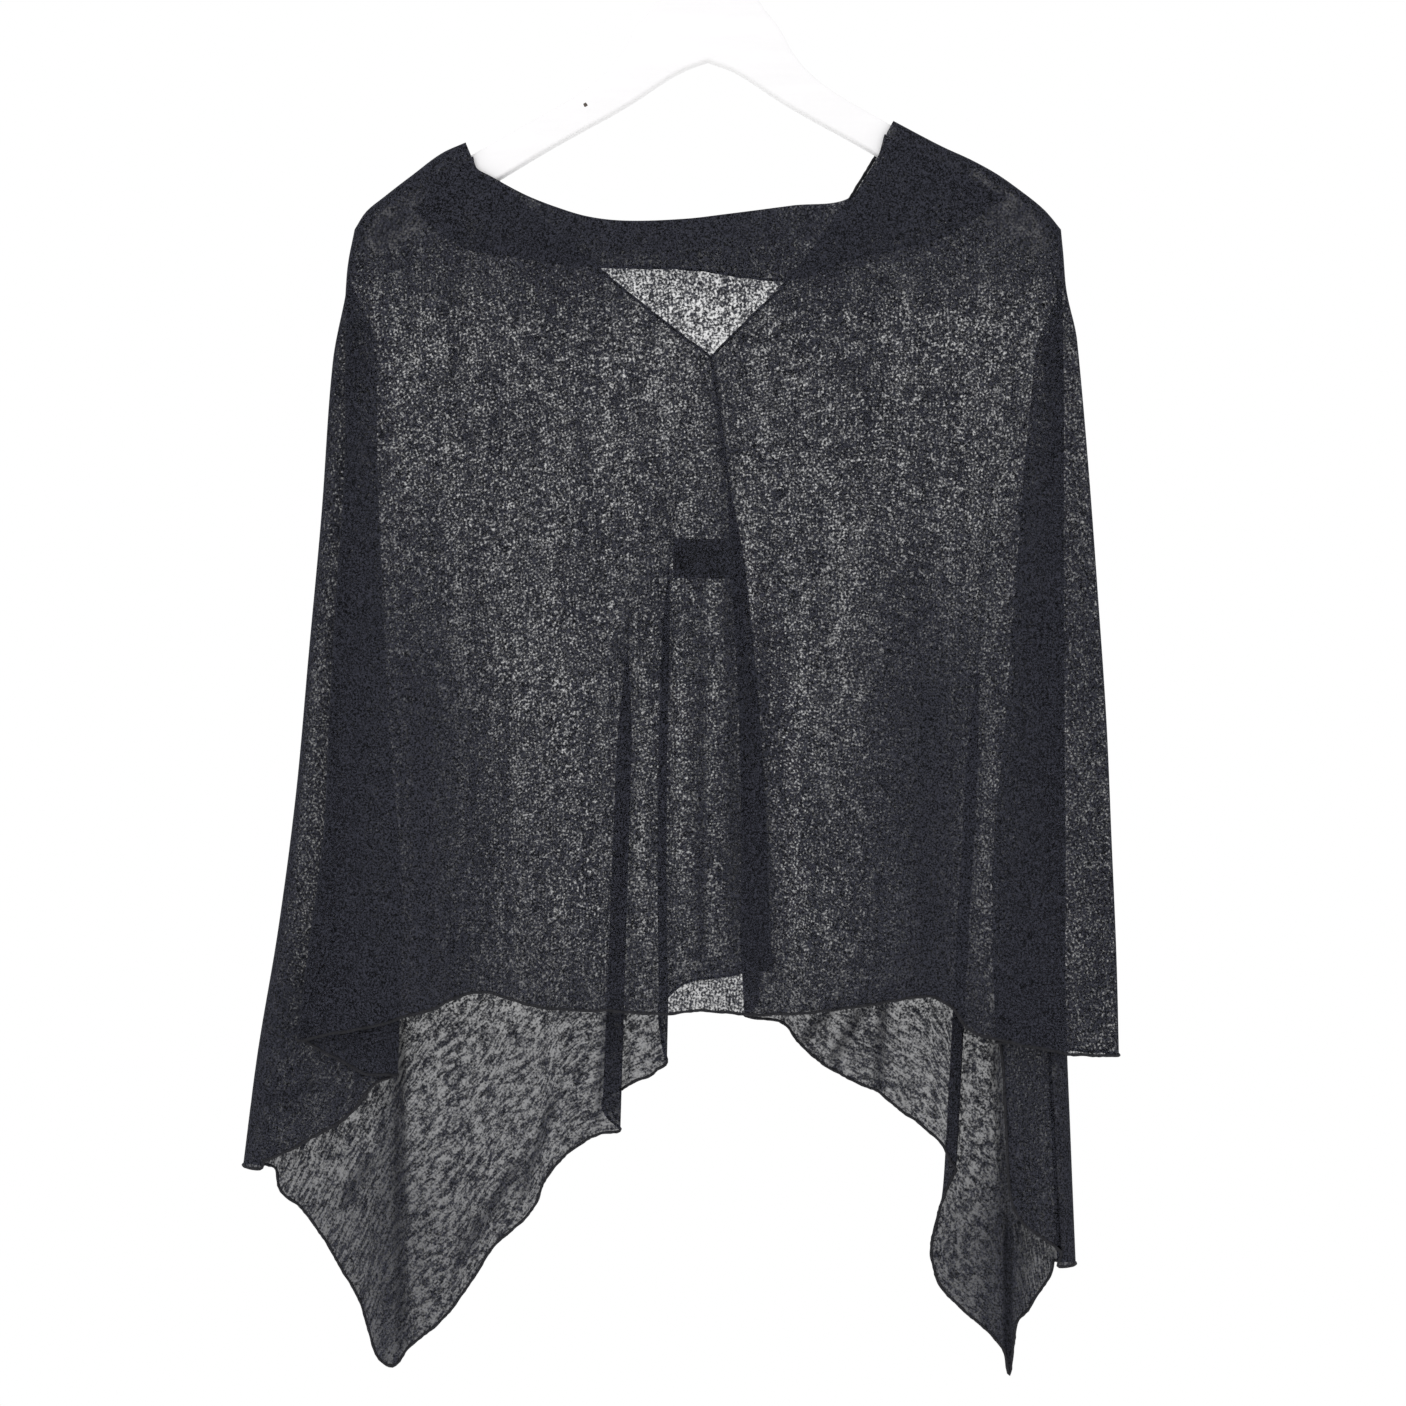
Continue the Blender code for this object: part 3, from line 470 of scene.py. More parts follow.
# Fill between four edge lines
def between(top, bottom, left, right, across, down):
    u = across[None, :, None]
    v = down[:, None, None]
    topLine, bottomLine = top(across), bottom(across)
    neckPower, hemPower = poncho["neckEndPower"], poncho["hemEndPower"]
    topLine = topLine + (left(0.0) - topLine[0]) * (1 - across[:, None]) ** neckPower
    topLine = topLine + (right(0.0) - topLine[-1]) * across[:, None] ** neckPower
    bottomLine = bottomLine + (left(1.0) - bottomLine[0]) * (1 - across[:, None]) ** hemPower
    bottomLine = bottomLine + (right(1.0) - bottomLine[-1]) * across[:, None] ** hemPower
    sides = (1 - u) * left(down)[:, None, :] + u * right(down)[:, None, :]
    ends = (1 - v) * topLine[None] + v * bottomLine[None]
    upper = (1 - u) * topLine[0] + u * topLine[-1]
    lower = (1 - u) * bottomLine[0] + u * bottomLine[-1]
    return sides + ends - (1 - v) * upper - v * lower


# One side of the poncho, from the front layer round its folds to the back layer
class Side:
    def __init__(self, shoulder, folds, side):
        self.side = side
        self.front, self.inner, self.back = (sideLine(shoulder, folds, k) for k in (1, 3, 5))

    def folded(self, share):
        return smoothStep(poncho["wrapEndShare"], poncho["foldedShare"], share)

    # Radii of the front, inner and back turns
    def radii(self, share):
        ups = [line(share)[:, 1] for line in (self.front, self.inner, self.back)]
        return [(depthOf(k + 2, up) - depthOf(k + 1, up)) / 2 for k, up in enumerate(ups)]

    # Where an outer layer ends and its turn begins
    def edge(self, line, turn, share):
        share = np.atleast_1d(np.asarray(share, float))
        folded = self.folded(share)
        inset = poncho["wrapRadiusMm"] * (1 - folded) + self.radii(share)[turn] * folded
        return line(share) - outward(line, share, self.side) * inset[:, None]

    def frontEdge(self, share):
        return self.edge(self.front, 0, share)

    def backEdge(self, share):
        return self.edge(self.back, 2, share)

    # The turns and the two hidden layers, row by row: across, depth, up
    def path(self, shares, secondHem, thirdHem):
        out = outward(self.front, shares, self.side)
        outBack = outward(self.back, shares, self.side)
        front, inner, back = self.front(shares), self.inner(shares), self.back(shares)
        first, second, third = (r[:, None] for r in self.radii(shares))
        columns = self.turn(front, -out, 1)
        columns += self.layer(shares, front - out * first, inner + out * second, secondHem, 2)
        columns += self.turn(inner, out, 2)
        columns += self.layer(shares, inner + out * second, back - outBack * third, thirdHem, 3)
        columns += self.turn(back, -outBack, 3)
        return self.overArm(np.stack(columns, axis=1), shares)

    # A round turn from one layer to the next behind it
    def turn(self, line, inward, layer):
        near, far = (depthOf(k, line[:, 1])[:, None] for k in (layer, layer + 1))
        radius = (far - near) / 2
        columns = []
        for angle in np.linspace(-math.pi / 2, math.pi / 2, poncho["turnSteps"] + 1):
            flat = line + inward * radius * (1 - math.cos(angle))
            deep = (near + far) / 2 + radius * math.sin(angle)
            columns.append(np.concatenate([flat[:, :1], deep, flat[:, 1:]], axis=1))
        return columns

    # A hidden layer hangs between two folds, down to its own hem
    def layer(self, shares, start, end, hem, layer):
        hemAt = smoothRead(np.linspace(0, 1, len(hem)), np.array(hem, float))
        columns = []
        for run in np.linspace(0, 1, poncho["layerColumns"] + 2)[1:-1]:
            flat = start * (1 - run) + end * run
            flat = flat + (hemAt(run)[0] - flat[-1]) * dropShare(shares)[:, None]
            columns.append(withDepth(flat, depthOf(layer, flat[:, 1])))
        return columns

    # Above the arm's end the same columns lie close together over the arm
    def overArm(self, zigzag, shares):
        count = zigzag.shape[1]
        knots = (0, splitAt, count - 1 - splitAt, count - 1)
        angle = np.radians(np.interp(range(count), knots, poncho["wrapDegrees"]))
        middle = (self.front(shares) + self.back(shares)) / 2
        out = outward(self.front, shares, self.side)
        drop = poncho["wrapRadiusMm"] * (np.cos(angle) ** poncho["wrapSquareness"] - 1)
        flat = middle[:, None, :] + out[:, None, :] * drop[None, :, None]
        wrap = withDepth(flat, np.broadcast_to(poncho["wrapRadiusMm"] * np.sin(angle), flat.shape[:2]))
        folded = self.folded(shares)[:, None, None]
        path = wrap * (1 - folded) + zigzag * folded
        for column in (splitAt, count - 1 - splitAt):
            path[:, column] = (path[:, column - 1] + path[:, column + 1]) / 2
        return path


# Shares of the hem at its rows, with more between them where the step is wide
def hemShares(hem, widest):
    _, at = lineThrough(hem)
    shares = list(at)
    for a, b in zip(at[:-1], at[1:]):
        extra = int((b - a) * lineLength(hem) / widest)
        shares += [a + (b - a) * k / (extra + 1) for k in range(1, extra + 1)]
    return np.array(sorted(shares))


# A back panel whose columns run along its pleats
def pleatedPanel(top, bottom, left, right, hem, rows):
    margin = poncho["pleatEdgeShare"]
    fine = np.linspace(0, 1, poncho["fineSteps"] + 1)
    flat = between(top, bottom, left, right, fine, rows)
    steps = np.array([-step for step in reversed(poncho["pleatSteps"])] + [0.0] + list(poncho["pleatSteps"]))
    knots = [np.zeros(len(rows))]
    for pleat in sorted(poncho["backPleats"], key=lambda row: row[2]):
        _, t, _, _ = acrossPleat(pleat, flat[-1, :, 0], flat[-1, :, 1])
        here = steps[(steps > t[0] + margin) & (steps < t[-1] - margin)]
        if not len(here):
            continue
        at = np.zeros((len(here), len(rows)))
        for row in reversed(range(len(rows))):
            _, t, _, _ = acrossPleat(pleat, flat[row, :, 0], flat[row, :, 1])
            inside = t[0] + margin < here[0] and here[-1] < t[-1] - margin
            climb = np.maximum.accumulate(t + fine * 1e-6)  # always rises, for the reading below
            at[:, row] = np.interp(here, climb, fine) if inside else at[:, row + 1]
        knots += list(at)
    knots = np.array(knots + [np.ones(len(rows))])
    shares = list(knots[:, -1])
    length = lineLength(hem)
    for share in hemShares(hem, poncho["backColumnMaxMm"]):
        if min(abs(share - other) for other in shares) * length > poncho["columnMinMm"]:
            shares.append(share)
    shares = np.array(sorted(shares))
    grid = np.zeros((len(rows), len(shares), 2))
    for row in range(len(rows)):
        place = np.interp(shares, knots[:, -1], knots[:, row])
        for axis in (0, 1):
            grid[row, :, axis] = np.interp(place, fine, flat[row, :, axis])
    return backPoint(grid), shares


knit = {
    "halfLengthMm": 690,  # from the middle of the front to a short end
    "widthMm": 530,
    "neckHalfMm": 150,  # of the front, at the neck
    "hemHalfMm": 255,  # of the front, at the hem
    "armHalfMm": 15,  # lies over the arm, at the top
    "hemSideMm": 215,  # lies in the side folds, at the hem
    "frontOpenTop": 0.27,  # share of light through one layer, before its open stitches level off
    "frontOpenHem": 0.24,
    "neckBandOpen": 0.018,
    "neckBandMm": 34,
    "neckBandFadeMm": (6, 4),  # the band's lower end fades over this much above and below it
    "facingOpen": 0.012,
    "facingEndOpen": 0.7,  # the facing tapers off over the arms
    "facingTaperMm": (60, 105),  # at the left and right arm
    "backOpenTop": 0.11,
    "backOpenHem": 0.103,
    "backOpenFromMm": -213,
    "backOpenDropMm": 520,
    "sideOpen": 0.025,
    "innerFoldOpen": 0.8,  # a hidden fold hangs loose and pulls the knit open, so it has no hard edge
    "innerFoldShares": (0.1, 1.0),  # across it, from its edges to its middle
    "shownBelowMm": (-700, -650),  # but below the front's hem the fold shows
    "armOpen": 0.2,  # of that, where the cloth bears on the hanger
    "armMm": (-290, -225),
    "freeMm": (-640, -740),  # from here down the cloth hangs in one layer
    "leastOpen": 0.15,  # a closer knit darkens evenly instead of by single stitches
    "evenPower": 0.4,
    "mostTurned": 3.2,  # how much darker a fold's turned edge gets at most
    "weldMm": 0.012,
}


# Less light comes through where the cloth lies over the hanger
def overHanger(grid, openness):
    near = smoothStep(*knit["armMm"], grid[..., 2])
    return openness * (1 - (1 - knit["armOpen"]) * near)


# Where each point of a side strip lies in the flat cloth
def sidePlace(path, shares):
    run = runAlong(path[-1])
    run /= run[-1]
    top = knit["neckHalfMm"] + knit["armHalfMm"] * run
    low = knit["hemHalfMm"] + knit["hemSideMm"] * run
    along = top[None] * (1 - shares[:, None]) + low[None] * shares[:, None]
    down = np.broadcast_to(knit["widthMm"] * shares[:, None], along.shape)
    return np.stack([along, down], axis=-1)


# Where each point of a back panel lies in the flat cloth: its hem turns the corner at the tip
def backPlace(hemShareOut, tipShare, shares):
    start = knit["neckHalfMm"] + knit["armHalfMm"]
    first = knit["hemHalfMm"] + knit["hemSideMm"]
    seamDrop = poncho["seamTopMm"] - poncho["seamHemMm"]
    top = start + (knit["halfLengthMm"] - seamDrop - start) * hemShareOut
    low = np.minimum(first + (knit["halfLengthMm"] - first) * hemShareOut / tipShare, knit["halfLengthMm"])
    lowDown = knit["widthMm"] * np.clip((1 - hemShareOut) / (1 - tipShare), 0, 1)
    along = top[None] * (1 - shares[:, None]) + low[None] * shares[:, None]
    return np.stack([along, lowDown[None] * shares[:, None]], axis=-1)


creases = {
    # soft creases of the whole hang: across and up of the middle, half length, half width, lean, depth
    "rows": [
        (-176, -330, 150, 16, -0.06, -1.6),
        (-120, -300, 110, 22, 0.1, 1.4),
        (-64, -560, 150, 14, 0.03, -1.3),
        (-8, -420, 120, 18, 0.02, 1.2),
        (66, -350, 130, 17, -0.08, -1.5),
        (128, -420, 190, 15, -0.02, 1.5),
        (178, -330, 120, 20, -0.05, -1.4),
        (206, -560, 160, 13, 0.01, 1.2),
        (-206, -600, 150, 12, 0.05, -1.1),
        (-152, -860, 70, 14, 0.25, 1.7),
        (-208, -850, 80, 12, -0.1, -1.6),
        (186, -850, 80, 11, 0.05, -1.7),
        (124, -740, 60, 12, -0.2, 1.4),
    ],
    # narrow pinched creases: across and up of both ends, half width, depth
    "pinches": [
        (-196.5, -700, -193, -930, 4.2, 6),
        (-286, -764, -244, -752, 3, 2.4),
        (190.5, -835, 190, -935, 2.8, 5.5),
        (182, -712, 189, -826, 4.2, 3),
        (58, -727, 86, -700, 2.6, 4.4),
        (79, -742, 103, -696, 2.8, 4.8),
        (107, -757, 112, -694, 3, 4.8),
        (-70, -780, -64, -700, 3, 2.2),
        (-232, -830, -214, -800, 4, 2.4),
        (-160, -870, -118, -800, 4, 2.2),
        (-120, -826, -96, -760, 3.6, 2),
    ],
    "pinchShade": 0.7,  # painted shade in a pinched crease, which also lies nearly double
    # where the neck drags over the arms, with painted shade along the drag creases: across and up of both
    # ends, half width, how much darker
    "drags": [
        (110, -195.5, 149, -185, 1.8, 0.34),
        (145, -186.5, 184, -182, 1.8, 0.28),
        (66, -239.5, 137, -222.5, 2.6, 0.42),
        (130, -224, 196, -208.5, 2.2, 0.34),
        (-194, -208, -128, -226, 2.2, 0.34),
        (-135, -224, -68, -238.5, 2.6, 0.42),
        (-206, -232, -150, -262, 3, 0.2),
        (204, -226, 150, -258, 3, 0.2),
        (-120, -262, -60, -286, 4, 0.18),
        (70, -262, 118, -252, 4, 0.2),
    ],
    # where the back lies doubled, the seam's allowance first, then painted shade along creases, and the tips
    # darker towards their lower ends
    "doubledAndShaded": [
        (2, -280, 11.5, -371, 3.5, 0.75),
        (11.5, -355, 18, -690, 5.4, 0.85),
        (33, -420, 40, -690, 3.2, 0.6),
        (24, -560, 34, -690, 13, 0.6),
        (-4, -430, -4, -690, 4.2, 0.8),
        (-49, -410, -52, -700, 7.5, 0.4),
        (-30, -370, -24, -520, 4, 0.3),
        (73, -400, 76, -620, 6, 0.3),
        (-202, -740, -204, -940, 8, 0.5),
        (-214, -800, -212, -1050, 60, 0.46),
        (182, -815, 182, -1050, 60, 0.64),
        (189, -790, 189, -1000, 13, 0.7),
    ],
    # painted shade down the front's flanks and lower middle
    "frontShade": [
        (138, -430, 138, -900, 48, 0.94),
        (-176, -430, -174, -960, 42, 0.92),
        (-214, -310, -212, -900, 24, 0.5),
        (206, -310, 202, -900, 26, 0.5),
        (-118, -560, -112, -980, 34, 0.35),
        (-6, -560, 20, -980, 46, 0.3),
    ],
    "fadeIn": (-0.15, 0.2),  # shares of a crease's length at its upper and lower end
    "fadeOut": (0.85, 1.1),
    "rippleMm": 0.55,
    "rippleWaves": 26,
    "rippleLongMm": (26, 60),  # across and up
    "hemWaveMm": 1.1,
    "hemWaves": [(5.3, 0, 0.6), (9.1, 1.7, 0.7), (17, 0.6, 0.6)],  # run, start, share
    "hemReachMm": 26,
    "hemEndMm": 10,  # the strip's ends stay on their neighbours
    "armClearUpMm": -255,
    "armFadeMm": 90,
}
seeded = np.random.default_rng(11)
waveRuns = seeded.normal(0, 1, (creases["rippleWaves"], 2)) / np.array(creases["rippleLongMm"])
waveStarts = seeded.uniform(0, 2 * math.pi, creases["rippleWaves"])


# A small even ripple that is the same through all layers, so that they keep apart
def ripple(across, up):
    total = np.zeros_like(across)
    for run, begin in zip(waveRuns, waveStarts):
        total += np.sin(run[0] * across + run[1] * up + begin)
    return total / math.sqrt(len(waveStarts) / 2)


# How far into each narrow crease a point lies, from 0 to 1
def inCreases(table, across, up):
    shares = []
    for x0, z0, x1, z1, halfWide, _ in creases[table]:
        run = math.hypot(x1 - x0, z1 - z0)
        along = ((across - x0) * (x1 - x0) + (up - z0) * (z1 - z0)) / run**2
        beside = ((across - x0) * (z1 - z0) - (up - z0) * (x1 - x0)) / run
        ends = smoothStep(*creases["fadeIn"], along) * (1 - smoothStep(*creases["fadeOut"], along))
        shares.append(np.exp(-((beside / halfWide) ** 2)) * ends)
    return shares


# Move a grid of points in depth along the creases
def creased(grid):
    across, up = grid[..., 0], grid[..., 2]
    shift = creases["rippleMm"] * ripple(across, up)
    for x, z, halfLong, halfWide, lean, depth in creases["rows"]:
        beside = (across - x - lean * (up - z)) / halfWide
        along = (up - z) / halfLong
        shift = shift + depth * (np.exp(-beside**2) * np.exp(-along**2))
    for pinch, share in zip(creases["pinches"], inCreases("pinches", across, up)):
        shift = shift + pinch[5] * share
    moved = grid.copy()
    moved[..., 1] += shift * smoothStep(0, 1, (creases["armClearUpMm"] - up) / creases["armFadeMm"])
    return moved


# Small waves of the lower edge, stronger toward it
def hemWaved(grid):
    run = runAlong(grid[-1])
    wave = sum(np.sin(run / long + start) * share for long, start, share in creases["hemWaves"])
    wave *= np.clip(np.minimum(run, run[-1] - run) / creases["hemEndMm"], 0, 1)
    below = np.linalg.norm(grid - grid[-1:], axis=-1) / creases["hemReachMm"]
    moved = grid.copy()
    moved[..., 1] += creases["hemWaveMm"] * wave[None] * np.clip(1 - below, 0, 1) ** 2
    return moved


# How far each point's cloth is turned away from the front plane, from 1
def turnedAway(grid):
    normal = np.cross(np.gradient(grid, axis=1), np.gradient(grid, axis=0))
    normal /= np.maximum(np.linalg.norm(normal, axis=-1, keepdims=True), 1e-9)
    return np.maximum(1 / np.maximum(np.abs(normal[..., 1]), 1 / knit["mostTurned"]), 1)


# An open sheet from strips of points, each with its flat places and openness. The knit's marks on
# each point say how open it is, how loose it hangs and how much light its close knit and the painted shade
# along its creases and doubled places take away
def clothPiece(name, strips, loose, darkened):
    work = bmesh.new()
    place = work.loops.layers.uv.new("cloth")
    layers = [work.verts.layers.float.new(mark) for mark in ("openness", "free", "closedAndShaded")]
    for grid, flat, openness in strips:
        across, up = grid[..., 0], grid[..., 2]
        through = openness ** turnedAway(grid)
        pattern = np.maximum(through, knit["leastOpen"])
        light = (through / pattern) ** knit["evenPower"]
        # Painted shade: creases, drag lines and the given tables take light away from the knit
        for table in ("pinches", "drags", *darkened):
            for line, share in zip(creases[table], inCreases(table, across, up)):
                dark = creases["pinchShade"] if table == "pinches" else line[5]
                light = light * (1 - dark * share)
        marks = (pattern, loose * smoothStep(*knit["freeMm"], up), 1 - light)
        verts, faces = addGrid(work, grid)
        for row, line in enumerate(verts):
            for column, vert in enumerate(line):
                for layer, values in zip(layers, marks):
                    vert[layer] = float(values[row, column])
        for face, corners in faces:
            for loop, corner in zip(face.loops, corners):
                loop[place].uv = flat[corner] * mm
    bmesh.ops.remove_doubles(work, verts=work.verts, dist=knit["weldMm"] * mm)
    bmesh.ops.recalc_face_normals(work, faces=work.faces)
    return newObject(name, meshFrom(work, name))


# Fine black viscose jersey, knitted so open that light comes through it. The eye sees soft dark
# blotches a few millimetres wide, a salt and pepper of single stitches, and faint upright wales
def sheerJersey():
    look = {
        "yarn": "#0E0F12",
        # the lighter tone of the loops' painted shine
        "yarnPaintedShine": "#363740",
        "loopMm": 1.0,  # the yarn's shine, painted into its colour loop by loop: loops are 0.7 mm apart, drawn coarser
        "loopContrast": 4.5,
        "grainMm": 1.4,  # stitches are 0.7 mm apart, and drawn coarser so that they show
        "grainDepth": 1.9,
        "grainFreeShare": 0.62,  # of that, where the streaks show instead
        "streakMm": 3.0,
        "streakLong": 3.6,  # as many times longer down the wales
        "streakDepth": 1.2,  # where the cloth hangs free and its weight pulls the knit open
        "calmShare": 0.25,  # of that, where it is held between the arms
        "blotchMm": 7.0,
        "blotchDepth": 0.45,
        "bandMm": (12, 12, 190),  # soft upright bands
        "bandDepth": 0.3,
        "walesMm": 1.7,  # wales are 0.8 mm apart, drawn coarser
        "walesDepth": 0.1,
        "evenShare": 0.5,  # of the bands and wales, where the cloth hangs free
        "mostOpen": 0.85,  # stitches never open wider than this
        "mostOpenFree": 0.34,
        "noiseSpread": 0.08,  # of a noise about its middle
        "relief": (0.5, 0.5),  # strength, depth in mm
    }
    material, tree, shader = newMaterial("sheerViscoseJersey", look["yarn"], 0.85,
                                         Specular_IOR_Level=0.06, IOR=1.5)
    onCloth = inMillimetres(tree, addNode(tree, "UVMap", "UV", uv_map="cloth"))
    place = inMillimetres(tree, addNode(tree, "TexCoord", "Object"))
    grain = addNode(tree, "TexNoise", "Fac", {
        "Vector": place, "Scale": 1 / look["grainMm"], "Detail": 2, "Roughness": 0.6})
    longer = addNode(tree, "VectorMath", "Vector", {0: onCloth, 1: (1, 1 / look["streakLong"], 1)},
                     operation="MULTIPLY")
    streak = addNode(tree, "TexNoise", "Fac", {
        "Vector": longer, "Scale": 1 / look["streakMm"], "Detail": 3, "Roughness": 0.65,
        "Distortion": 0.4}, noise_dimensions="2D")
    blotch = addNode(tree, "TexNoise", "Fac", {"Vector": place, "Scale": 1 / look["blotchMm"], "Detail": 2})
    bandPlace = addNode(tree, "VectorMath", "Vector", {0: place, 1: look["bandMm"]}, operation="DIVIDE")
    band = addNode(tree, "TexNoise", "Fac", {"Vector": bandPlace, "Scale": 1, "Detail": 1})
    wales = addNode(tree, "TexWave", "Fac", {
        "Vector": onCloth, "Scale": bandRun / look["walesMm"], "Distortion": 1.5, "Detail": 1,
        "Detail Scale": 0.5}, wave_type="BANDS", bands_direction="X")
    free = addNode(tree, "Attribute", "Fac", attribute_name="free")
    exponent = 0.0
    for source, depth, held, loose in (
        (grain, look["grainDepth"], 1, look["grainFreeShare"]),
        (streak, look["streakDepth"], look["calmShare"], 1),
        (blotch, look["blotchDepth"], 1, 1),
        (band, look["bandDepth"], 1, look["evenShare"]),
        (wales, look["walesDepth"], 1, look["evenShare"]),
    ):
        pull = addNode(tree, "MapRange", "Result", {
            "Value": free, "To Min": held * depth / look["noiseSpread"],
            "To Max": loose * depth / look["noiseSpread"]})
        swing = addNode(tree, "Math", "Value", {0: source, 1: 0.5}, operation="SUBTRACT")
        exponent = addNode(tree, "Math", "Value", {0: swing, 1: pull, 2: exponent}, operation="MULTIPLY_ADD")
    share = addNode(tree, "Math", "Value", {0: exponent}, operation="EXPONENT")
    openness = addNode(tree, "Attribute", "Fac", attribute_name="openness")
    through = addNode(tree, "Math", "Value", {0: openness, 1: share}, operation="MULTIPLY")
    # Open stitches level off, while tight ones go on to black
    most = addNode(tree, "MapRange", "Result", {
        "Value": free, "To Min": 1 / look["mostOpen"], "To Max": 1 / look["mostOpenFree"]})
    level = addNode(tree, "Math", "Value", {0: through, 1: most, 2: 1}, operation="MULTIPLY_ADD")
    through = addNode(tree, "Math", "Value", {0: through, 1: level}, operation="DIVIDE")
    # Less light where the knit closes up, and painted shade along creases and doubled places
    closedAndShaded = addNode(tree, "Attribute", "Fac", attribute_name="closedAndShaded")
    light = addNode(tree, "Math", "Value", {0: 1, 1: closedAndShaded}, operation="SUBTRACT")
    through = addNode(tree, "Math", "Value", {0: through, 1: light}, operation="MULTIPLY")
    addNode(tree, "Math", "Value", {0: 1, 1: through}, operation="SUBTRACT", into=shader.inputs["Alpha"])
    # Painted shine: each loop's colour goes lighter along a noise, standing in for light on the yarn
    loops = addNode(tree, "TexNoise", "Fac", {
        "Vector": place, "Scale": 1 / look["loopMm"], "Detail": 1, "Distortion": 0.6})
    lit = addNode(tree, "Math", "Value", {
        0: loops, 1: look["loopContrast"], 2: 0.5 - look["loopContrast"] / 2},
        operation="MULTIPLY_ADD", use_clamp=True)
    mixTones(tree, shader, lit, look["yarn"], look["yarnPaintedShine"])
    raiseRelief(tree, shader, loops, look["relief"])
    return material


left = Side(poncho["shoulderLeft"], poncho["leftFolds"], -1)
right = Side(poncho["shoulderRight"], poncho["rightFolds"], 1)
rows = np.concatenate([np.linspace(0, armShare, poncho["armRows"] + 1)[:-1],
                       np.linspace(armShare, 1, poncho["dropRows"] + 1)])
leftPath = left.path(rows, poncho["leftSecondHem"], poncho["leftThirdHem"])
rightPath = right.path(rows, poncho["rightSecondHem"], poncho["rightThirdHem"])
leftFlat = sidePlace(leftPath, rows) * (-1, 1)
rightFlat = sidePlace(rightPath, rows)
jersey = sheerJersey()


# The neck edge's strip: the facing inside the front, then a round turn up to the neck line
def neckTurnedIn(flat, front, across):
    depth = poncho["facingDepthMm"]
    edge, _ = lineThrough(poncho["facingEdge"])
    neckRow, neckFlat = front[0, 1:-1], flat[0, 1:-1]
    down = np.linspace(0, 1, poncho["facingRows"] + 1)
    facingFlat = neckFlat[None] + (edge(across[1:-1]) - neckFlat)[None] * down[:, None, None]
    facingDepth = frontDepth(facingFlat[..., 0], facingFlat[..., 1]) + depth
    facingDepth[0] = neckRow[:, 1] + depth
    facing = withDepth(facingFlat, facingDepth)
    run = np.gradient(neckFlat, axis=0)
    run /= np.linalg.norm(run, axis=1)[:, None]
    rise = np.stack([-run[:, 1], np.zeros(len(run)), run[:, 0]], axis=1)
    over = []
    for angle in np.linspace(0, math.pi, poncho["neckTurnSteps"] + 1)[1:-1]:
        inward = np.array([0.0, 1 - math.cos(angle), 0.0])
        over.append(neckRow + depth / 2 * (inward + rise * math.sin(angle)))
    return np.stack([*facing[::-1], *reversed(over), neckRow])


# The front: the flat layer, a turn at each side and the facing inside the neck edge
def makeFront():
    neck, _ = lineThrough(poncho["frontNeck"])
    hem, _ = lineThrough(poncho["frontHem"])
    across = np.linspace(0, 1, poncho["frontColumns"] + 1)
    flat = between(neck, hem, left.frontEdge, right.frontEdge, across, rows)
    front = withDepth(flat, frontDepth(flat[..., 0], flat[..., 1]))
    front[:, 0] = leftPath[:, 0]
    front[:, -1] = rightPath[:, 0]
    neckStrip = neckTurnedIn(flat, front, across)

    half = knit["neckHalfMm"] + (knit["hemHalfMm"] - knit["neckHalfMm"]) * rows[:, None]
    along = (2 * across[None] - 1) * half
    place = np.stack([along, np.broadcast_to(knit["widthMm"] * rows[:, None], along.shape)], axis=-1)
    stripDown = np.linspace(-knit["neckBandMm"], 0, neckStrip.shape[0])
    stripAlong = np.broadcast_to(along[0, 1:-1], neckStrip.shape[:2])
    stripPlace = np.stack([stripAlong, np.broadcast_to(stripDown[:, None], stripAlong.shape)], axis=-1)

    top, low, bandEnd = knit["frontOpenTop"], knit["frontOpenHem"], knit["neckBandMm"]
    openness = np.broadcast_to(top + (low - top) * rows[:, None], along.shape)
    above, below = knit["neckBandFadeMm"]
    band = 1 - smoothStep(bandEnd - above, bandEnd + below, place[..., 1])
    openness = openness + (knit["neckBandOpen"] - openness) * band
    neckAcross = flat[0, 1:-1, 0]
    leftTaper, rightTaper = knit["facingTaperMm"]
    taper = smoothStep(0, leftTaper, neckAcross - neckAcross[0])
    taper = taper * smoothStep(0, rightTaper, neckAcross[-1] - neckAcross)
    stripOpen = knit["facingEndOpen"] + (knit["facingOpen"] - knit["facingEndOpen"]) * taper
    stripOpen = np.broadcast_to(stripOpen, neckStrip.shape[:2])
    ramp = np.linspace(1, 0, splitAt + 1)[None]
    sideOpen = ramp * (openness[:, :1] - knit["sideOpen"]) + knit["sideOpen"]
    strips = [(front, place, openness), (neckStrip, stripPlace, stripOpen)]
    for path, sideFlat in ((leftPath, leftFlat), (rightPath, rightFlat)):
        strips.append((path[:, : splitAt + 1], sideFlat[:, : splitAt + 1], sideOpen))
    strips = [(creased(grid), flatPlace, overHanger(grid, opened)) for grid, flatPlace, opened in strips]
    strips[0] = (hemWaved(strips[0][0]), *strips[0][1:])
    # The front takes painted shade along its creases and down its flanks
    piece = clothPiece("frontPanel", strips, 0, ["frontShade"])
    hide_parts("front_panel")
    return piece, strips


def makeSideFold(name, node, path, flat):
    grid = creased(path[:, splitAt:-splitAt])
    inner = 1 - np.abs(np.linspace(-1, 1, grid.shape[1]))
    hidden = smoothStep(*knit["innerFoldShares"], inner)[None]
    hidden = hidden * smoothStep(*knit["shownBelowMm"], grid[..., 2])
    openness = knit["sideOpen"] + (knit["innerFoldOpen"] - knit["sideOpen"]) * hidden
    strips = [(grid, flat[:, splitAt:-splitAt], overHanger(grid, openness))]
    piece = clothPiece(name, strips, 0, [])
    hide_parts(node)
    return piece, strips


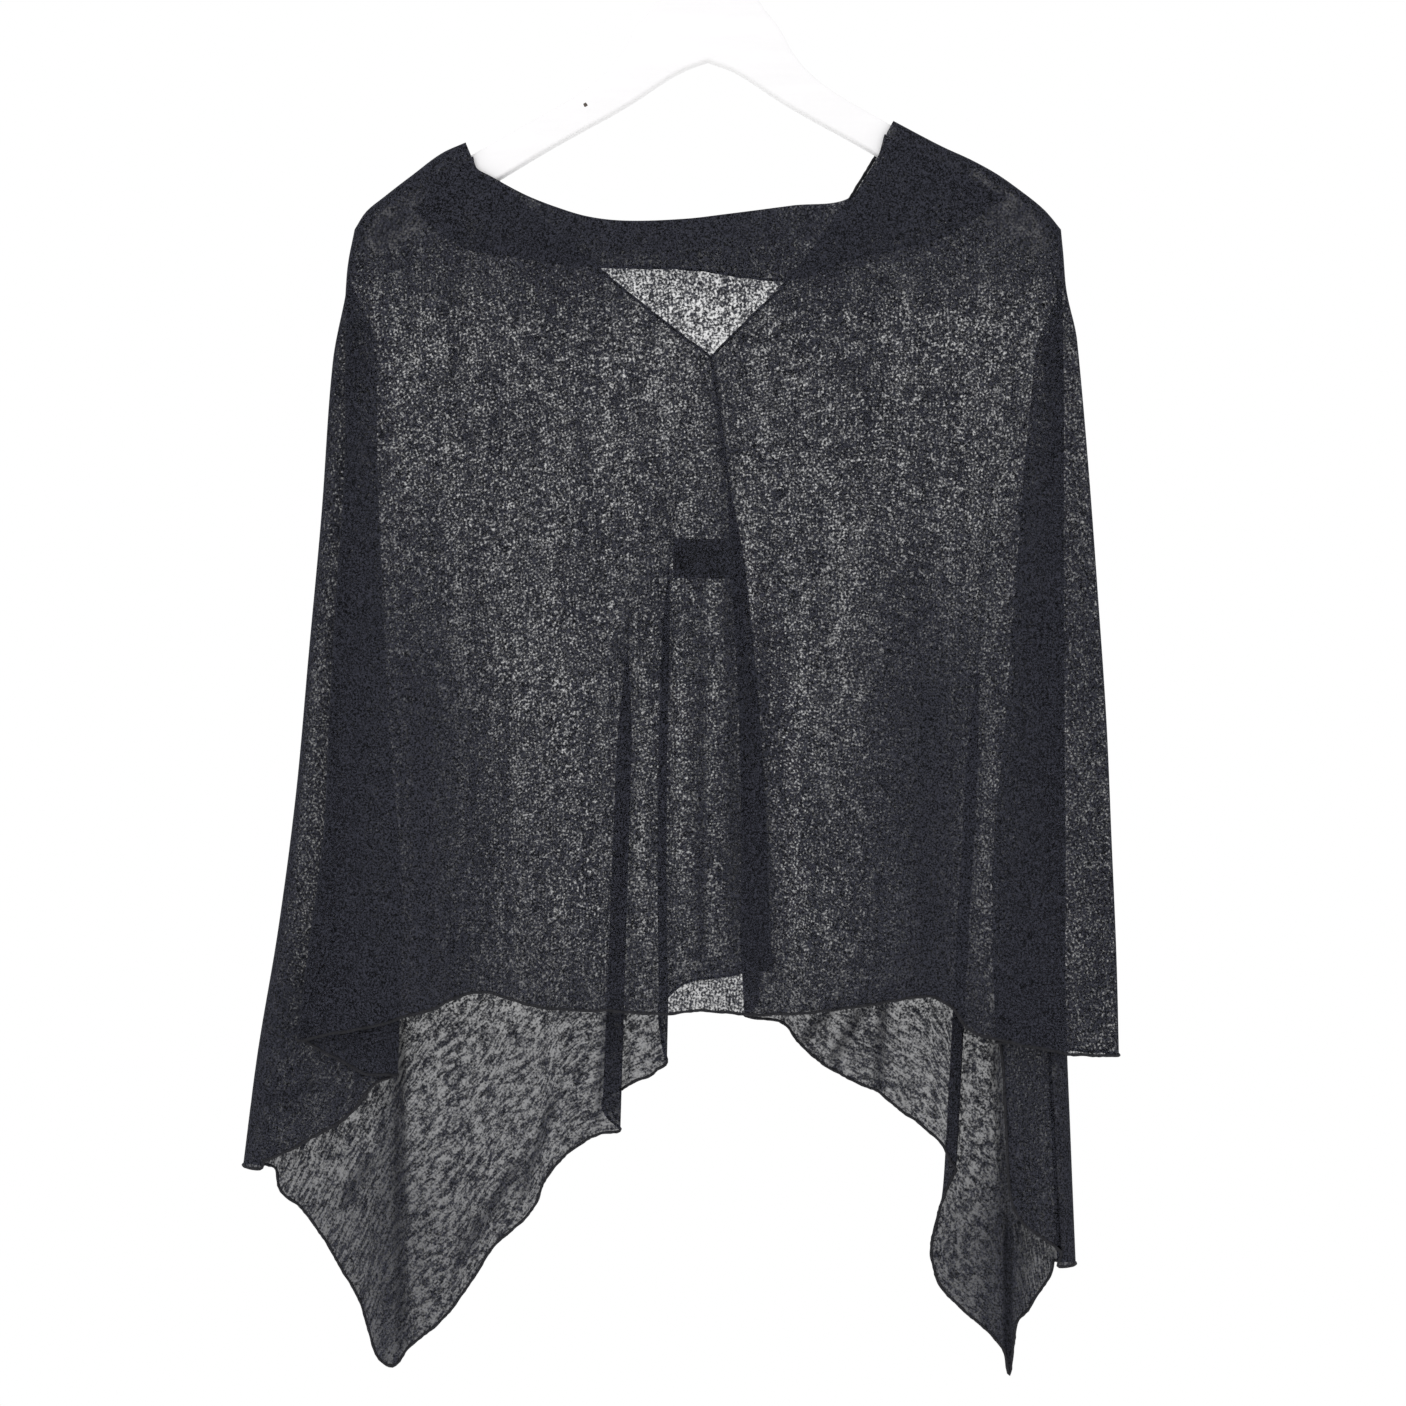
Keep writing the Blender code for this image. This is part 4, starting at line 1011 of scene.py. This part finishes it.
# A back panel, from its side turn to the seam
def makeBack(name, node, side, path, flat, neckEdge, hemRows):
    pleat = poncho["backPleats"][poncho["seamPleat"]]
    ups = np.linspace(poncho["seamTopMm"], poncho["seamHemMm"], len(rows))
    _, beside = besideFold(pleat, np.zeros_like(ups), ups, pleat[4])
    centre, _ = lineThrough(np.stack([-beside, ups], axis=1))
    top, _ = lineThrough(neckEdge)
    bottom, at = lineThrough(hemRows)
    outerFirst = side is left
    edges = (side.backEdge, centre) if outerFirst else (centre, side.backEdge)
    panel, shares = pleatedPanel(top, bottom, *edges, hemRows, rows)
    tip = at[int(np.argmin([row[1] for row in hemRows]))]
    if not outerFirst:
        panel, shares, tip = panel[:, ::-1], 1 - shares[::-1], 1 - tip
    place = backPlace(shares, tip, rows)
    if outerFirst:
        place = place * (-1, 1)
    outer, outerFlat = path[:, -splitAt - 1 :], flat[:, -splitAt - 1 :]
    panel[:, 0] = outer[:, -1]
    drop = np.clip((knit["backOpenFromMm"] - panel[..., 2]) / knit["backOpenDropMm"], 0, 1)
    openness = knit["backOpenTop"] + (knit["backOpenHem"] - knit["backOpenTop"]) * drop
    ramp = np.linspace(0, 1, splitAt + 1)[None]
    outerOpen = knit["sideOpen"] + (openness[:, :1] - knit["sideOpen"]) * ramp
    strips = [
        (hemWaved(creased(panel)), place, overHanger(panel, openness)),
        (creased(outer), outerFlat, overHanger(outer, outerOpen)),
    ]
    # The back takes painted shade along its creases and tips, besides its doubled seam allowance
    piece = clothPiece(name, strips, 1, ["doubledAndShaded"])
    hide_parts(node)
    return piece, strips


frontPanel, frontStrips = makeFront()
leftFold, leftStrips = makeSideFold("leftSideFold", "left_side_fold", leftPath, leftFlat)
rightFold, rightStrips = makeSideFold("rightSideFold", "right_side_fold", rightPath, rightFlat)
backLeft, backLeftStrips = makeBack("backLeftPanel", "back_left_panel", left, leftPath, leftFlat,
                                    poncho["backNeckLeft"], poncho["backLeftHem"])
backRight, backRightStrips = makeBack("backRightPanel", "back_right_panel", right, rightPath, rightFlat,
                                      poncho["backNeckRight"], poncho["backRightHem"])
cloth = (frontPanel, leftFold, rightFold, backLeft, backRight)
for piece in cloth:
    piece.data.materials.append(jersey)
    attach(piece, "root")
print("cloth made:", sum(len(piece.data.polygons) for piece in cloth), "faces")


# Overlocked edge: black thread wound close round a rolled edge, so a dark line with a broken,
# fuzzy side
edging = {
    "thickMm": 1.9,
    "roundSteps": 2,
    "unevenShare": 0.16,
    "unevenTurns": (1.9, 0.6, 2),  # radians a step, those of its drift, and how far it drifts
    "stepMm": 2.0,
    "waveMm": 0.35,
    "waveTurns": [(0.83, 0), (0.47, 1)],  # radians a step, start
    "facingHalfMm": 158,
    "seamThickMm": 1.7,
    "seamForwardMm": 1.0,  # the seam's edges stand inside the back
    "colour": "#121215",
    "colourLight": "#2C2C31",
    "threadMm": 1.4,  # overlock threads are 0.4 mm wide, drawn coarser
    "relief": (0.6, 0.4),  # strength, depth in mm
}


def overlockThread():
    material, tree, shader = newMaterial("overlockedPolyesterThread", edging["colour"], 0.7,
                                         Specular_IOR_Level=0.2, IOR=1.5)
    place = inMillimetres(tree, addNode(tree, "TexCoord", "Object"))
    loops = addNode(tree, "TexVoronoi", "Distance", {"Vector": place, "Scale": 1 / edging["threadMm"]},
                    feature="F1")
    mixTones(tree, shader, loops, edging["colourLight"], edging["colour"])
    raiseRelief(tree, shader, loops, edging["relief"])
    return material


# A line of points with even steps
def evenLine(points, step):
    points = np.asarray(points, float)
    run = runAlong(points)
    at = np.linspace(0, run[-1], max(2, int(run[-1] / step) + 1))
    return np.stack([np.interp(at, run, points[:, k]) for k in range(3)], axis=1)


# A rolled edge along lines of points, as one mesh
def edgePiece(name, lines, thickMm, material):
    curve = newWire(name, thickMm, edging["roundSteps"])
    turn, drift, reach = edging["unevenTurns"]
    for points in lines:
        points = evenLine(points, edging["stepMm"])
        for k in range(len(points)):
            points[k, 2] += edging["waveMm"] * sum(math.sin(k * t + s) for t, s in edging["waveTurns"]) / 2
        for k, point in enumerate(addLine(curve, points).points):
            point.radius = 1 + edging["unevenShare"] * math.sin(k * turn + math.sin(k * drift) * reach)
    holder = newObject(name + "Curve", curve)
    depsgraph = bpy.context.evaluated_depsgraph_get()
    mesh = bpy.data.meshes.new_from_object(holder.evaluated_get(depsgraph))
    bpy.data.objects.remove(holder)
    mesh.name = name
    mesh.materials.clear()
    mesh.materials.append(material)
    piece = newObject(name, mesh)
    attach(piece, "root")
    return piece


# The lower edge of a back panel and of the turn beside it
def hemOf(strips):
    return np.concatenate([strips[1][0][-1], strips[0][0][-1][1:]])


frontHem = np.concatenate([frontStrips[2][0][-1][::-1], frontStrips[0][0][-1][1:-1], frontStrips[3][0][-1]])
facingLine = frontStrips[1][0][0]
facingLine = facingLine[np.abs(facingLine[:, 0]) < edging["facingHalfMm"]]
seamLine = backLeftStrips[0][0][:, -1] - np.array([0.0, edging["seamForwardMm"], 0.0])
thread = overlockThread()
thick = edging["thickMm"]
frontHemEdge = edgePiece("frontHemEdge", [frontHem], thick, thread)
neckFacingEdge = edgePiece("neckFacingEdge", [facingLine], thick, thread)
leftFoldEdge = edgePiece("leftFoldEdge", [leftStrips[0][0][-1]], thick, thread)
rightFoldEdge = edgePiece("rightFoldEdge", [rightStrips[0][0][-1]], thick, thread)
backLeftEdge = edgePiece("backLeftEdge", [hemOf(backLeftStrips), backLeftStrips[0][0][0]], thick, thread)
backRightEdge = edgePiece("backRightEdge", [hemOf(backRightStrips), backRightStrips[0][0][0]], thick, thread)
backSeam = edgePiece("backSeam", [seamLine], edging["seamThickMm"], thread)
print("edges made")

label = {
    "acrossMm": (-22, 17.5),
    "upMm": (-408, -433),
    "thickMm": 0.6,
    "clearMm": 1.0,  # from the back's middle
    "reachMm": 7,  # the back's nearest point within this reach carries the label
    "probeSteps": 160,
    "columns": 48,
    "rows": 30,
    "smoothRounds": 6,
    "curlMm": 0.8,
    "colour": "#101012",
    "colourLight": "#26262B",
    "threadMm": 0.9,  # satin threads are 0.3 mm apart, drawn coarser
    "relief": (0.3, 0.2),  # strength, depth in mm
}


# Blank satin label: a plain dark patch, closer and smoother than the knit round it
def satinLabel():
    material, tree, shader = newMaterial("wovenSatinLabel", label["colour"], 0.55,
                                         Specular_IOR_Level=0.3, IOR=1.5)
    place = inMillimetres(tree, addNode(tree, "TexCoord", "Object"))
    weft = addNode(tree, "TexWave", "Fac", {
        "Vector": place, "Scale": bandRun / label["threadMm"], "Distortion": 0.6, "Detail": 1},
        wave_type="BANDS", bands_direction="Z")
    mixTones(tree, shader, weft, label["colour"], label["colourLight"])
    raiseRelief(tree, shader, weft, label["relief"])
    return material


def makeLabel():
    start, end = label["acrossMm"]
    across = np.linspace(start, end, label["columns"] + 1)
    up = np.linspace(*label["upMm"], label["rows"] + 1)
    wide = np.linspace(start - 2 * label["reachMm"], end + 2 * label["reachMm"], label["probeSteps"])
    nearest = creased(backPoint(np.stack(np.meshgrid(wide, up), axis=-1)))
    grid = np.zeros((len(up), len(across), 3))
    for row in range(len(up)):
        for column, place in enumerate(across):
            close = np.abs(nearest[row, :, 0] - place) < label["reachMm"]
            grid[row, column] = (place, nearest[row, close, 1].min() - label["clearMm"], up[row])
    smooth = grid[:, :, 1]
    for _ in range(label["smoothRounds"]):
        padded = np.pad(smooth, 1, mode="edge")
        beside = padded[1:-1, :-2] + padded[1:-1, 2:] + padded[:-2, 1:-1] + padded[2:, 1:-1]
        smooth = np.minimum(smooth, beside / 4)
    down = np.linspace(0, 1, len(up))[:, None]
    grid[:, :, 1] = smooth - label["curlMm"] * down**3
    work = bmesh.new()
    addGrid(work, grid)
    piece = newObject("blankLabel", meshFrom(work, "blankLabel"))
    wall = piece.modifiers.new("Thickness", "SOLIDIFY")
    wall.thickness = label["thickMm"] * mm
    wall.offset = 0.0
    piece.data.materials.append(satinLabel())
    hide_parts("label")
    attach(piece, "root")
    return piece


blankLabel = makeLabel()
print("label made")

hanger = {
    "thickMm": 12,
    "edgeMm": 2.2,
    "edgeSteps": 6,
    "edgeTurnDeg": 60,  # edges that turn more than this are rounded
    "outlineStepMm": 3,
    "holeDepthMm": 16,
    "paint": "#FCFBFC",
    "paintShade": "#F4F3F4",
    "grainMm": 9,  # the swell of the grain's bands, since its pores are filled by the paint
    "grainAcross": (0.12, 1, 1),  # the grain runs across
    "relief": (0.12, 0.6),  # strength, depth in mm
    "nickAtMm": (-76.9, -136.1),
    "nickMm": 1.3,
    "nickRaggedMm": 1.6,
    "nickNoise": 0.9,  # waves of its ragged edge in a millimetre
    "nickColour": "#4A4038",
    # half outline, from the top of the hump round the arm's end and back underneath: across, up
    "outline": [
        (0, -50), (12, -51), (23, -56), (31.5, -69), (36, -76), (44, -86), (55, -105), (64, -115.5),
        (77, -126), (110, -145.5), (145, -165.5), (166, -177), (186, -188), (202, -199), (211, -207.5),
        (215.5, -216.5), (215, -225), (209.5, -229.5), (201.5, -228), (186, -216.5), (166, -203),
        (135, -184.5), (100, -163.5), (50, -135.5), (16, -114), (0, -108),
    ],
}


# Satin white paint on beech: smooth and close to white, with a faint swell of the grain under it
# and a small dark nick where the paint has chipped
def paintedBeech():
    material, tree, shader = newMaterial("whitePaintedBeech", hanger["paint"], 0.38,
                                         IOR=1.5, Specular_IOR_Level=0.45)
    place = inMillimetres(tree, addNode(tree, "TexCoord", "Object"))
    drawn = addNode(tree, "VectorMath", "Vector", {0: place, 1: hanger["grainAcross"]}, operation="MULTIPLY")
    grain = addNode(tree, "TexNoise", "Fac", {
        "Vector": drawn, "Scale": 1 / hanger["grainMm"], "Detail": 4, "Roughness": 0.55})
    tint = addNode(tree, "Mix", "Result", {
        "Factor": grain, "A": linearColour(hanger["paint"]), "B": linearColour(hanger["paintShade"])},
        data_type="RGBA")
    nickAt = (hanger["nickAtMm"][0], -hanger["thickMm"] / 2, hanger["nickAtMm"][1])
    away = addNode(tree, "VectorMath", "Value", {0: place, 1: nickAt}, operation="DISTANCE")
    ragged = addNode(tree, "TexNoise", "Fac", {"Vector": place, "Scale": hanger["nickNoise"]})
    edge = addNode(tree, "Math", "Value", {
        0: ragged, 1: hanger["nickRaggedMm"], 2: hanger["nickMm"] - hanger["nickRaggedMm"] / 2},
        operation="MULTIPLY_ADD")
    nicked = addNode(tree, "Math", "Value", {0: away, 1: edge}, operation="LESS_THAN")
    addNode(tree, "Mix", "Result", {"Factor": nicked, "A": tint, "B": linearColour(hanger["nickColour"])},
            into=shader.inputs["Base Color"], data_type="RGBA")
    raiseRelief(tree, shader, grain, hanger["relief"])
    return material


def makeHanger():
    line, _ = lineThrough(hanger["outline"])
    points = line(np.linspace(0, 1, int(lineLength(hanger["outline"]) / hanger["outlineStepMm"])))
    outline = [tuple(p) for p in points] + [(-x, z) for x, z in points[::-1] if x > 0.01]
    work = bmesh.new()
    work.faces.new([work.verts.new((x * mm, 0, z * mm)) for x, z in outline])
    piece = newObject("hangerBar", meshFrom(work, "hangerBar"))
    board = piece.modifiers.new("Board", "SOLIDIFY")
    board.thickness = hanger["thickMm"] * mm
    board.offset = 0.0
    rounded = piece.modifiers.new("Rounded edges", "BEVEL")
    rounded.width = hanger["edgeMm"] * mm
    rounded.segments = hanger["edgeSteps"]
    rounded.limit_method = "ANGLE"
    rounded.angle_limit = math.radians(hanger["edgeTurnDeg"])
    piece.data.shade_smooth()
    piece.data.materials.append(paintedBeech())
    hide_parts("hanger_bar")
    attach(piece, "root")


hook = {
    "wireMm": 3.5,
    "roundSteps": 6,
    "innerRadiusMm": 20,
    "arcDeg": (-42, 196),
    "steps": 96,
    "bendSteps": 18,
    "bendShare": 0.55,
    "straightMm": 3,
    "sunkMm": 0.5,  # of shank that shows its end in the bar's top
    "colour": "#C9CACC",
    "drawnMm": 2,  # lines from drawing are under 0.1 mm wide, drawn coarser
    "roughness": (0.14, 0.3),
    "relief": (0.08, 0.2),  # strength, depth in mm
}


# Bright drawn steel wire: sharp reflections with fine lines along it
def drawnSteel():
    material, tree, shader = newMaterial("brightDrawnSteel", hook["colour"], 0.2, Metallic=1.0)
    place = addNode(tree, "TexCoord", "Object")
    fine = addNode(tree, "TexNoise", "Fac", {"Vector": place, "Scale": 1000 / hook["drawnMm"], "Detail": 3})
    low, high = hook["roughness"]
    addNode(tree, "MapRange", "Result", {"Value": fine, "To Min": low, "To Max": high},
            into=shader.inputs["Roughness"])
    raiseRelief(tree, shader, fine, hook["relief"])
    return material


def makeHook():
    radius = hook["innerRadiusMm"] + hook["wireMm"] / 2
    angles = np.radians(np.linspace(*hook["arcDeg"], hook["steps"] + 1))
    arc = np.stack([radius * np.cos(angles), radius * np.sin(angles) - hook["innerRadiusMm"]], axis=1)
    top = hanger["outline"][0][1]
    low = np.array([0.0, top - hanger["holeDepthMm"] + hook["sunkMm"]])
    shank = np.array([0.0, top + hook["straightMm"]])
    pull = hook["bendShare"] * (arc[0, 1] - shank[1])
    first = shank + (0.0, pull)
    second = arc[0] + pull * np.array([math.sin(angles[0]), -math.cos(angles[0])])
    path = [low, shank]
    for t in np.linspace(0, 1, hook["bendSteps"] + 1)[1:-1]:
        early = (1 - t) ** 3 * shank + 3 * t * (1 - t) ** 2 * first
        path.append(early + 3 * t**2 * (1 - t) * second + t**3 * arc[0])
    path += list(arc)
    curve = newWire("hangerHook", hook["wireMm"], hook["roundSteps"])
    addLine(curve, [(x, 0, z) for x, z in path])
    piece = newObject("hangerHook", curve)
    curve.materials.append(drawnSteel())
    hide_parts("hanger_hook")
    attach(piece, "root")


makeHanger()
makeHook()
print("hanger made")

studio = {
    "floorUp": -1.6,
    "floorHalf": 1.5,
    "floorSteps": 8,
    "floorColour": "#F3F3F1",
    "background": "#FFFFFF",
    "softBox": (1.6, 1.6),  # metres
    "softBoxAt": (-1.6, -2.6, -0.3),
    "softBoxWatts": 9,
    "lensMm": 85,
    "cameraAt": (-0.003, -2.092, -0.512),
    "seeThrough": 32,  # up to ten layers of sheer cloth lie behind each other
}


def makeStudio():
    scene = bpy.context.scene
    world = bpy.data.worlds.new("softWhiteRoom")
    world.use_nodes = True
    background = world.node_tree.nodes["Background"]
    background.inputs["Color"].default_value = linearColour(studio["background"])
    background.inputs["Strength"].default_value = 1.0
    scene.world = world
    work = bmesh.new()
    steps = studio["floorSteps"]
    bmesh.ops.create_grid(work, x_segments=steps, y_segments=steps, size=studio["floorHalf"])
    floor = newObject("floor", meshFrom(work, "floor"))
    floor.location = (0, 0, studio["floorUp"])
    matt, _, _ = newMaterial("paleMattFloor", studio["floorColour"], 0.9)
    floor.data.materials.append(matt)
    lamp = bpy.data.lights.new("softBox", "AREA")
    lamp.shape = "RECTANGLE"
    lamp.size, lamp.size_y = studio["softBox"]
    lamp.energy = studio["softBoxWatts"]
    box = newObject("softBox", lamp)
    box.location = studio["softBoxAt"]
    low, high = cadBox
    box.rotation_euler = (box.location - (low + high) / 2).to_track_quat("Z", "Y").to_euler()
    lens = bpy.data.cameras.new("camera")
    lens.lens = studio["lensMm"]
    camera = newObject("camera", lens)
    camera.location = studio["cameraAt"]
    camera.rotation_euler = (math.radians(90), 0, 0)
    scene.camera = camera
    scene.view_settings.view_transform = "Standard"
    scene.cycles.transparent_max_bounces = studio["seeThrough"]


makeStudio()
print("studio made")
